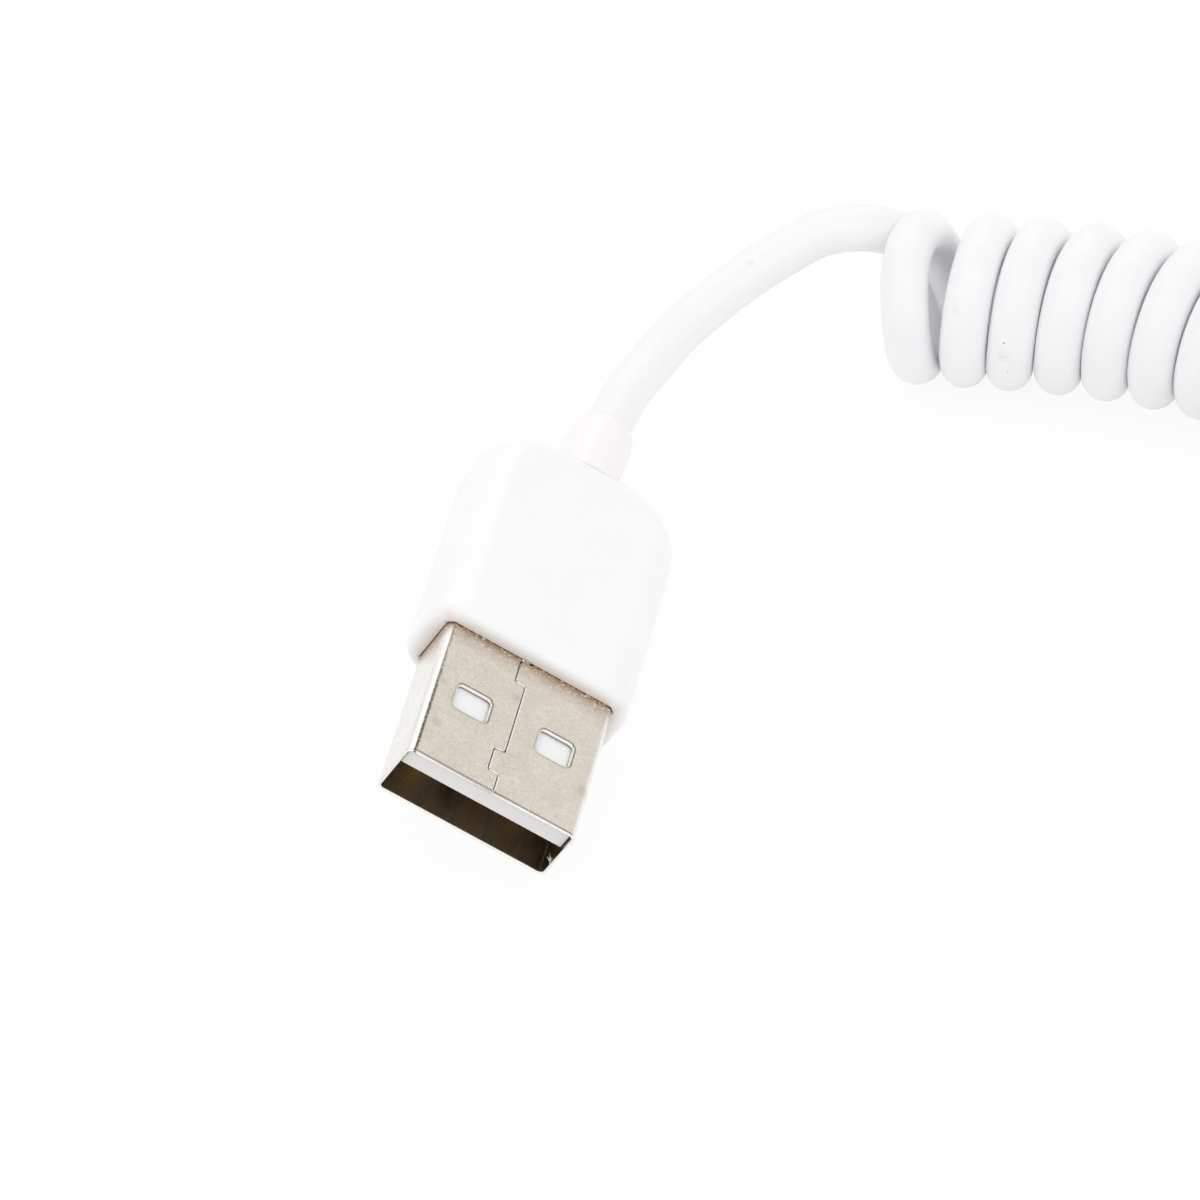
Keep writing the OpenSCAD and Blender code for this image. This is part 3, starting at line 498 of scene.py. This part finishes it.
# Cord: one line from the large plug's collar through the curly turns to the small plug's collar
cord = {
    "diameter": 3.1, "turnRadius": 4.25, "turnShare": 1.03, "turnRamp": 12,  # turns thicker, reached over a ramp
    "firstTurn": 0.25, "lastTurn": 26.25, "pitch": 3.5, "stepsPerTurn": 36, "step": 0.8,
    "places": [  # each a number of turns and the place on the coil's axis
        (0.25, 17.6), (0.5, 19.1), (0.75, 18.9), (1.0, 18.55), (1.25, 19.8), (1.5, 21.9), (1.75, 22.65),
        (2.25, 24.1), (2.75, 25.86), (3.75, 29.3), (4.75, 32.74), (5.75, 36.2), (6.75, 39.7), (7.75, 43.2),
        (8.75, 46.7),
    ],
    "inCollar": (3.4, 4.6, 5.9, 7.5),
    "lead": [
        (1.6, 21.3, 6.1), (2.75, 24.1, 6.4), (4.0, 26.3, 7.0), (5.6, 28.3, 7.6), (8.0, 30.7, 8.5),
        (10.4, 32.7, 9.2), (12.3, 33.8, 9.8), (14.6, 34.4, 10.0), (16.4, 35.2, 9.3), (17.4, 36.3, 7.6),
    ],
    "tailSide": 4.2, "tailLow": 1.65, "tailRise": 1.15, "tailLead": 1.5, "tailSag": 7.0,
}


def collarPoint(distance):
    lean = math.radians(largePlug["lean"])
    back = largePlug["shellOut"] + largePlug["boot"] - largePlug["length"] / 2
    return Vector((distance * math.sin(lean), back + distance * math.cos(lean), largePlug["axis"]))


def turnPoint(turn):
    last = cord["places"][-1]
    place = valueThrough(cord["places"], turn) if turn < last[0] else last[1] + (turn - last[0]) * cord["pitch"]
    centre, ahead = axisPoint(place)
    side = Vector((ahead.y, -ahead.x, 0))
    angle = 2 * math.pi * turn
    return centre + cord["turnRadius"] * (Vector((0, 0, math.cos(angle))) - side * math.sin(angle))


# Off the coil's outer side, down to the table, round half a turn and into the small boot
def tailLine():
    ahead, collar = coil["endHeading"], smallPlug["collarEnd"]
    out = coil["end"] + cord["tailSide"] * Vector((-ahead.y, ahead.x, 0))
    half = (out.x - collar.x) / 2
    line = [out + Vector((0.05, -2.0, -2.0)), out + Vector((0, -4.4, -3.55)), out + Vector((0, -7.5, -4.15))]
    for k in range(7):
        angle = math.radians(30 * k)
        height = cord["tailLow"] + cord["tailRise"] * max(0.0, (k - 2) / 4) ** 2
        x = collar.x + half * (1 + math.cos(angle))
        y = collar.y - cord["tailLead"] - cord["tailSag"] * math.sin(angle)
        line.append(Vector((x, y, height)))
    return line + [collar + Vector((0, y, 0)) for y in (0.2, 1.6, 3.0)]


# The whole line in metres, and its thickness at each point
def cordLine():
    count = round((cord["lastTurn"] - cord["firstTurn"]) * cord["stepsPerTurn"])
    turns = [turnPoint(cord["firstTurn"] + i / cord["stepsPerTurn"]) for i in range(count + 1)]
    lead = [collarPoint(d) for d in cord["inCollar"]] + [Vector(p) for p in cord["lead"]]
    before = smoothThrough(lead + turns[:3], cord["step"])[:-2]
    after = smoothThrough(turns[-3:] + tailLine(), cord["step"])[2:]
    line = [p * mm for p in before[:-1] + turns + after[1:]]
    first, last = len(before) - 1, len(before) - 1 + len(turns)
    share = []
    for i in range(len(line)):
        within = max(0.0, min(1.0, 1 + (i - first) / cord["turnRamp"], 1 + (last - i) / cord["turnRamp"]))
        share.append(1 + (cord["turnShare"] - 1) * within)
    return line, share


def makeCord():
    line, share = cordLine()
    data = bpy.data.curves.new("cord", "CURVE")
    data.dimensions = "3D"
    data.bevel_depth = cord["diameter"] / 2 * mm
    data.bevel_resolution = 7
    data.use_fill_caps = True
    spline = data.splines.new("POLY")
    spline.points.add(len(line) - 1)
    for point, place, thick in zip(spline.points, line, share):
        point.co = (*place, 1)
        point.radius = thick
    spline.use_smooth = True
    data.materials.append(surfaces["cord"])
    piece = bpy.data.objects.new("cord", data)
    bpy.context.scene.collection.objects.link(piece)
    length = sum((b - a).length for a, b in zip(line, line[1:]))
    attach(piece, "root")
    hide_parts("lead_cord", "coil_cord", "tail_cord")
    print("cord", round(length * 1000, 1), "mm,", len(line), "points")
    return piece, length


cordPiece, cordLength = makeCord()


# Folded shell of the large plug: the blank with its seam, tabs and windows, wrapped round the section
def roundedCorner(before, corner, after, radius, parts=4):
    inward, outward = (before - corner).normalized(), (after - corner).normalized()
    start, end = corner + inward * radius, corner + outward * radius
    return [
        start * (1 - t) ** 2 + corner * 2 * t * (1 - t) + end * t**2
        for t in (k / parts for k in range(parts + 1))
    ]


# A closed loop from (point, radius) pairs
def roundedLoop(corners):
    loop = []
    for i, (corner, radius) in enumerate(corners):
        if radius:
            loop += roundedCorner(corners[i - 1][0], corner, corners[(i + 1) % len(corners)][0], radius)
        else:
            loop.append(corner)
    return loop


def shellRound():
    flatWide = largePlug["width"] - 2 * largePlug["fold"]
    flatHigh = largePlug["height"] - 2 * largePlug["fold"]
    return 2 * flatWide + 2 * flatHigh + 2 * math.pi * largePlug["fold"]


# Outer point and outward direction of the section at a length u round it from the top's middle
def sectionPoint(u):
    fold = largePlug["fold"]
    half, side = largePlug["width"] / 2 - fold, largePlug["height"] / 2 - fold
    arc = math.pi * fold / 2
    whole = shellRound()
    if u > whole - half:
        return Vector((u - whole, 0, side + fold)), Vector((0, 0, 1))
    runs = [
        (half, (0, 0, side), (1, 0, 0), (0, 0, 1)), (arc, (half, 0, side), None, 90),
        (2 * side, (half, 0, side), (0, 0, -1), (1, 0, 0)), (arc, (half, 0, -side), None, 0),
        (2 * half, (half, 0, -side), (-1, 0, 0), (0, 0, -1)), (arc, (-half, 0, -side), None, -90),
        (2 * side, (-half, 0, -side), (0, 0, 1), (-1, 0, 0)), (arc, (-half, 0, side), None, 180),
    ]
    for length, start, along, out in runs:
        if u <= length or length is runs[-1][0] and u <= length + 1e-6:
            if along is None:
                angle = math.radians(out) - u / fold
                out = Vector((math.cos(angle), 0, math.sin(angle)))
                return Vector(start) + out * fold, out
            out = Vector(out)
            return Vector(start) + Vector(along) * u + out * fold, out
        u -= length
    return Vector((-half, 0, side + fold)), Vector((0, 0, 1))


# Corners of one side of the seam from tip to root, each with its round
def seamLoop(sign, base):
    gap, reach = sign * shell["seamGap"] / 2, shell["tabReach"]
    corners = [(Vector((base + gap, 0, 0)), 0)]
    for k in range(2):
        start = shell["tabFront"] + k * shell["tabStep"]
        front, back = start + gap, start + shell["tabLength"] - gap
        for x, y in ((0, front), (-reach, front), (-reach, back), (0, back)):
            corners.append((Vector((base + x + gap, y, 0)), shell["tabRound"]))
    corners.append((Vector((base + gap, largePlug["shellOut"] + largePlug["shellIn"], 0)), 0))
    return corners


# The loop moved to its left by an inset, for an outline that runs anticlockwise
def offsetLoop(loop, inset):
    moved = []
    for i, point in enumerate(loop):
        a = (point - loop[i - 1]).normalized()
        b = (loop[(i + 1) % len(loop)] - point).normalized()
        left = Vector((-a.y - b.y, a.x + b.x, 0))
        reach = left.normalized() / max(0.3, left.length / 2)
        moved.append(point + reach * inset)
    return moved


def shellBlank():
    whole = shellRound()
    loops = [roundedLoop(seamLoop(-1, whole) + seamLoop(1, 0.0)[::-1])]
    for base in (0.0, whole / 2, whole):
        for x in (-shell["windowX"], shell["windowX"]):
            centre = base + x
            if 0 < centre < whole:
                w, l = shell["windowWidth"] / 2, shell["windowLength"] / 2
                y = shell["windowY"]
                corners = [(centre - w, y - l), (centre - w, y + l), (centre + w, y + l), (centre + w, y - l)]
                loops.append(roundedLoop([(Vector((cx, cy, 0)), shell["windowRound"]) for cx, cy in corners]))
    return loops


# The blank as a thick sheet with rounded edges, outer face up
def blankMesh():
    thick, edge = largePlug["sheet"], shell["edge"]
    half = edge * (1 - math.sqrt(0.5))
    profile = [(edge, 0), (half, half), (0, edge), (0, thick - edge), (half, thick - half), (edge, thick)]
    mesh = bmesh.new()
    outlines = {0: [], len(profile) - 1: []}  # edges round the outer and the inner face
    for loop in shellBlank():
        rings = []
        for inset, depth in profile:
            rings.append([mesh.verts.new((p.x, p.y, -depth)) for p in offsetLoop(loop, inset)])
        for a, b in zip(rings, rings[1:]):
            for i in range(len(a)):
                j = (i + 1) % len(a)
                mesh.faces.new((a[i], b[i], b[j], a[j]))
        for k, edges in outlines.items():
            for i, vert in enumerate(rings[k]):
                pair = (vert, rings[k][(i + 1) % len(rings[k])])
                edges.append(mesh.edges.get(pair) or mesh.edges.new(pair))
    for k, edges in outlines.items():
        for face in bmesh.ops.triangle_fill(mesh, edges=edges, use_beauty=True)["geom"]:
            if k and isinstance(face, bmesh.types.BMFace):
                face.material_index = 1
    return mesh


# Cuts where the blank bends and where its mouth thins
def cutFolds(mesh):
    fold, halfWide = largePlug["fold"], largePlug["width"] / 2 - largePlug["fold"]
    arc, sideRun = math.pi * fold / 2, largePlug["height"] - 2 * fold
    starts = [
        halfWide, halfWide + arc + sideRun, 3 * halfWide + 2 * arc + sideRun, 3 * halfWide + 3 * arc + 2 * sideRun,
    ]
    cuts = [(Vector((start + arc * k / 8, 0, 0)), (1, 0, 0)) for start in starts for k in range(9)]
    cuts.append((Vector((0, shell["mouthRun"], 0)), (0, 1, 0)))
    for place, normal in cuts:
        geometry = mesh.verts[:] + mesh.edges[:] + mesh.faces[:]
        bmesh.ops.bisect_plane(mesh, geom=geometry, plane_co=place, plane_no=normal, dist=1e-6)


# Wraps the blank round the section and gives the normal of each vertex
def wrapBlank(mesh):
    thick, turn, normals = largePlug["sheet"], largeFrame.to_3x3(), []
    for vert in mesh.verts:
        outer, out = sectionPoint(vert.co.x)
        flat = vert.normal.copy()
        if vert.co.z > -1e-6 or vert.co.z < 1e-6 - thick:
            flat = Vector((0, 0, 1 if vert.co.z > -thick / 2 else -1))
        sideways = Vector((out.z, 0, -out.x))
        normals.append(turn @ (sideways * flat.x + Vector((0, flat.y, 0)) + out * flat.z))
        thin = 1 - shell["mouthThin"] * max(0.0, 1 - vert.co.y / shell["mouthRun"])
        place = outer + out * vert.co.z * thin
        vert.co = Vector((place.x, vert.co.y, place.z)) * mm
    return normals


def makeShell():
    mesh = blankMesh()
    cutFolds(mesh)
    bmesh.ops.recalc_face_normals(mesh, faces=mesh.faces[:])
    mesh.normal_update()
    normals = wrapBlank(mesh)
    data = bpy.data.meshes.new("folded_shell")
    mesh.to_mesh(data)
    mesh.free()
    data.transform(largeFrame)
    piece = addMesh("folded_shell", data, surfaces["nickel"])
    data.materials.append(surfaces["inside"])
    data.normals_split_custom_set_from_vertices(normals)
    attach(piece, "root")
    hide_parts("usb_a_shell")
    print("shell", len(data.polygons), "faces")


makeShell()

# Torn sliver of metal left inside the mouth's right corner, coloured matte white as a painted glint
burr = {
    "place": (4.28, -18.25, 1.98), "width": 0.13,
    "blades": [(58, 0.40), (95, 0.50), (132, 0.36), (-70, 0.42), (-108, 0.30), (20, 0.22), (160, 0.18)],
}


def makeBurr():
    right, up, back = (Vector(camera[k]) for k in ("right", "up", "back"))
    points, faces = [], []
    for angle, length in burr["blades"]:
        turn = math.radians(angle)
        along = right * math.cos(turn) + up * math.sin(turn)
        across = (up * math.cos(turn) - right * math.sin(turn)) * burr["width"] / 2
        root, first = Vector(burr["place"]) - along * 0.03, len(points)
        tip = Vector(burr["place"]) + along * length + back * 0.05
        points += [(root + across) * mm, (root - across) * mm, (root + back * burr["width"]) * mm, tip * mm]
        faces += [tuple(first + i for i in face) for face in ((0, 1, 3), (1, 2, 3), (2, 0, 3), (0, 2, 1))]
    data = bpy.data.meshes.new("mouth_burr")
    data.from_pydata(points, [], faces)
    # Matte white plastic on the metal sliver: a painted glint
    piece = addMesh("mouth_burr", data, surfaces["white"], smooth=False)
    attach(piece, "root")


makeBurr()


# Boots: lofted skins from the mouth round the shell to the bore round the cord
bootForm = {"mouthDeep": 1.2, "soft": 0.05, "fillet": 0.5, "rim": 0.45, "boreDeep": 2.5, "blend": 0.6}


def sectionRing(width, height, radius, parts=14):
    radius = min(radius, width / 2, height / 2)
    ring = []
    for q in range(4):
        cx = (width / 2 - radius) * (1 if q in (0, 3) else -1)
        cz = (height / 2 - radius) * (1 if q < 2 else -1)
        for k in range(parts + 1):
            angle = math.pi / 2 * (q + k / parts)
            ring.append(Vector((cx + radius * math.cos(angle), 0, cz + radius * math.sin(angle))))
    return ring


def quarter(parts):
    return [math.pi / 2 * k / parts for k in range(parts + 1)]


# Sections of a boot, each a place along it, a width, a height and a corner radius
def bootRows(size):
    start, end = size["start"], size["start"] + size["length"]
    width, height, corner = size["width"], size["height"], size["round"]
    mouthWidth, mouthHeight, mouthRound = size["mouth"]
    soft, lip, fillet, rim = bootForm["soft"], size["lip"], bootForm["fillet"], bootForm["rim"]
    rows = [(start + bootForm["mouthDeep"], mouthWidth, mouthHeight, mouthRound)]
    for a in quarter(3):
        out = soft * (1 - math.cos(a))
        rows.append((start + soft * (1 - math.sin(a)), mouthWidth + 2 * out, mouthHeight + 2 * out, mouthRound + out))
    for a in quarter(5):
        inset = 2 * lip * (1 - math.sin(a))
        rows.append((start + lip * (1 - math.cos(a)), width - inset, height - inset, corner))
    shoulder, drop = size["shoulder"], size["drop"]
    for a in quarter(12):
        inset = 1 - math.cos(a)
        along = end - shoulder * (1 - math.sin(a))
        rows.append((along, width - 2 * shoulder * inset, height - 2 * drop * inset, corner))
    collar, wide, narrow = size["collar"], size["collarWide"], size["collarNarrow"]
    rows.append((end + 0.02, wide + 1.1, wide + 0.35, wide / 2))
    for a in quarter(4)[::-1]:
        out = fillet * (1 - math.cos(a))
        rows.append((end + fillet * (1 - math.sin(a)) + 0.03, wide + out, wide + out / 2, wide))
    for share in (0.2, 0.4, 0.6, 0.8):
        d = wide + (narrow - wide) * share
        rows.append((end + collar * share, d, d, d))
    for a in quarter(5):
        d = narrow - 2 * rim * (1 - math.cos(a))
        rows.append((end + collar - rim * (1 - math.sin(a)), d, d, d))
    bore = size["bore"]
    for a in quarter(3):
        d = bore + 0.2 * (1 - math.sin(a))
        rows.append((end + collar - 0.1 * (1 - math.cos(a)), d, d, d))
    rows.append((end + collar - bootForm["boreDeep"], bore, bore, bore))
    return rows, end


# The collar leans with the cord, and stays upright on a rolled plug
def makeBoot(name, size, place, material, lean=0.0, roll=0.0):
    rows, end = bootRows(size)
    mesh = bmesh.new()
    rings = []
    upright = Matrix.Rotation(math.radians(roll), 4, "Y")
    tilt = Matrix.Rotation(-math.radians(roll), 4, "Y") @ Matrix.Rotation(-math.radians(lean), 4, "Z")
    for y, w, h, r in rows:
        past = max(0.0, y - end)
        ring = []
        for point in sectionRing(w, h, r):
            spot = Vector((point.x, past, point.z))
            if past > 0:
                spot = spot.lerp(tilt @ (upright @ spot), min(1.0, past / bootForm["blend"]))
            spot.y += min(y, end)
            ring.append(mesh.verts.new(spot * mm))
        rings.append(ring)
    for a, b in zip(rings, rings[1:]):
        for i in range(len(a)):
            j = (i + 1) % len(a)
            mesh.faces.new((a[i], a[j], b[j], b[i]))
    bmesh.ops.remove_doubles(mesh, verts=mesh.verts[:], dist=1e-7)
    bmesh.ops.recalc_face_normals(mesh, faces=mesh.faces[:])
    data = bpy.data.meshes.new(name)
    mesh.to_mesh(data)
    mesh.free()
    data.transform(place)
    piece = addMesh(name, data, material)
    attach(piece, "root")
    return piece


largeBoot = makeBoot("large_boot", {
    "start": largePlug["shellOut"], "length": largePlug["boot"], "mouth": (12.04, 4.54, 0.52),
    "width": largePlug["bootWidth"], "height": largePlug["bootHeight"], "round": largePlug["bootRound"],
    "lip": 0.6, "shoulder": 3.8, "drop": 0.85, "collar": largePlug["seenCollar"], "collarWide": 5.0,
    "collarNarrow": 4.1, "bore": 3.1,
}, largeFrame, surfaces["boot"], largePlug["lean"], largePlug["roll"])
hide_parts("usb_a_boot")
smallBoot = makeBoot("small_boot", {
    "start": smallPlug["shellOut"], "length": smallPlug["boot"], "mouth": (8.29, 2.44, 1.22),
    "width": smallPlug["bootWidth"], "height": smallPlug["bootHeight"], "round": smallPlug["bootRound"],
    "lip": 0.6, "shoulder": 3.0, "drop": 0.6, "collar": smallPlug["collar"], "collarWide": 4.8, "collarNarrow": 4.1,
    "bore": 3.1,
}, smallFrame, surfaces["smallBoot"])
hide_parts("usb_c_boot")
print("boots made")

# Solids that stay: welded, with softened edges and their own materials
kept = {
    "tongue": (["usb_a_insulator"], 0.05),
    "gold": (["power_contact", "data_minus_contact", "data_plus_contact", "ground_contact",
              "usb_c_upper_contacts", "usb_c_lower_contacts"], 0.02),
    "solder": (["usb_a_solder", "usb_c_solder"], 0.02),
    "red": (["usb_a_red_wire", "usb_c_red_wire"], 0.0),
    "white": (["usb_a_white_wire", "usb_c_white_wire"], 0.0),
    "green": (["usb_a_green_wire", "usb_c_green_wire"], 0.0),
    "black": (["usb_a_black_wire", "usb_c_black_wire", "usb_c_resistor"], 0.0),
    "mould": (["usb_a_inner_mould"], 0.0),
    "smallNickel": (["usb_c_shell"], 0.05),
    "dark": (["usb_c_housing"], 0.03),
    "steel": (["usb_c_latch_springs", "usb_c_ground_springs", "usb_c_shield_upper", "usb_c_shield_lower"], 0.02),
    "board": (["usb_c_circuit_board"], 0.0),
}


def dressSolids():
    for surface, (names, soft) in kept.items():
        for name in names:
            node = nodes[name]
            node.data.materials.clear()
            node.data.materials.append(surfaces[surface])
            node.modifiers.new("weld", "WELD").merge_threshold = 1e-6
            if soft:
                bevel = node.modifiers.new("soft_edges", "BEVEL")
                bevel.width = soft * mm
                bevel.segments = 2
                bevel.limit_method = "ANGLE"
                bevel.angle_limit = math.radians(40)
                bevel.harden_normals = True


dressSolids()
print("solids dressed")


# Studio: pale floor, white surround, soft lamps; a pair is where a change starts and ends, four edge a strip
studio = {
    "warm": (0.785, 0.745, 0.685, 1), "pale": (1.08, 1.08, 1.08, 1), "dark": (0.16, 0.13, 0.10, 1),
    "left": (0.90, 0.88, 0.85, 1), "bright": (1.12, 1.25), "leftFrom": (1.75, 2.1), "line": (0.80, 0.88, 1.10, 1.20),
    "band": (-0.22, -0.08, 0.36, 0.50), "front": (-0.20, -0.34), "shade": (0.6, 0.85), "diffuse": 0.92,
}
floor = {"size": 1.5, "low": -0.00003, "matte": (0.96, 0.96, 0.96, 1), "glow": 0.92}
lamps = {
    "size": 0.5, "target": (0.03, 0.0, 0.0),
    "lamps": [("key", (-0.3, 0.2, 0.6), 0.35), ("fill", (0.4, -0.1, 0.5), 0.25)],
}


# 1 for rays that see a thing straight, mirrored or through something, 0 for those that only light it
def seenShare(tree):
    rays = addNode(tree, "ShaderNodeLightPath").outputs
    seen = maths(tree, "MAXIMUM", rays["Is Camera Ray"], rays["Is Glossy Ray"])
    return maths(tree, "MAXIMUM", seen, rays["Is Transmission Ray"])


def makeFloor():
    size, low = floor["size"], floor["low"]
    data = bpy.data.meshes.new("floor")
    corners = [(-size, -size, low), (size, -size, low), (size, size, low), (-size, size, low)]
    data.from_pydata(corners, [], [(0, 1, 2, 3)])
    material = bpy.data.materials.new("floor")
    material.use_nodes = True
    tree = material.node_tree
    tree.nodes.clear()
    matte = addNode(tree, "ShaderNodeBsdfDiffuse", {"Color": floor["matte"]}).outputs[0]
    glow = addNode(tree, "ShaderNodeEmission", {"Color": (1, 1, 1, 1), "Strength": 1.0}).outputs[0]
    share = product(tree, seenShare(tree), floor["glow"])
    both = addNode(tree, "ShaderNodeMixShader", {0: share, 1: matte, 2: glow}).outputs[0]
    addNode(tree, "ShaderNodeOutputMaterial", {"Surface": both})
    addMesh("floor", data, material, smooth=False)


# White for the camera; mirrored, a pale room, warm at the back right, greyer at the left, with a dark line
# and a dark band beside it
def makeWorld():
    world = bpy.data.worlds.new("surround")
    bpy.context.scene.world = world
    world.use_nodes = True
    tree = world.node_tree
    tree.nodes.clear()
    direction = addNode(tree, "ShaderNodeTexCoord").outputs["Generated"]
    swing = maths(tree, "ARCTAN2", axisOf(tree, direction, 2), axisOf(tree, direction, 0))
    ahead = axisOf(tree, direction, 1)
    room = mixed(tree, between(tree, swing, *studio["bright"]), studio["warm"], studio["pale"])
    room = mixed(tree, between(tree, swing, *studio["leftFrom"]), room, studio["left"])
    strips = (strip(tree, swing, studio["line"]), strip(tree, ahead, studio["band"]))
    for mask, depth in zip(strips, studio["shade"]):
        room = mixed(tree, product(tree, mask, depth), room, studio["dark"])
    room = mixed(tree, between(tree, ahead, *studio["front"]), room, studio["pale"])
    strength = between(tree, seenShare(tree), 0.0, 1.0, studio["diffuse"], 1.0)
    glossy = addNode(tree, "ShaderNodeLightPath").outputs["Is Glossy Ray"]
    colour = mixed(tree, glossy, (1, 1, 1, 1), room)
    light = addNode(tree, "ShaderNodeBackground", {"Color": colour, "Strength": strength}).outputs[0]
    addNode(tree, "ShaderNodeOutputWorld", {"Surface": light})


def addLamp(name, place, power):
    data = bpy.data.lights.new(name, "AREA")
    data.shape = "DISK"
    data.size = lamps["size"]
    data.energy = power
    lamp = bpy.data.objects.new(name, data)
    bpy.context.scene.collection.objects.link(lamp)
    aim = Vector(lamps["target"]) - Vector(place)
    lamp.matrix_world = Matrix.Translation(Vector(place)) @ aim.to_track_quat("-Z", "Y").to_matrix().to_4x4()


makeFloor()
makeWorld()
for name, place, power in lamps["lamps"]:
    addLamp(name, place, power)
bpy.context.scene.view_settings.view_transform = "Standard"
print("studio made")
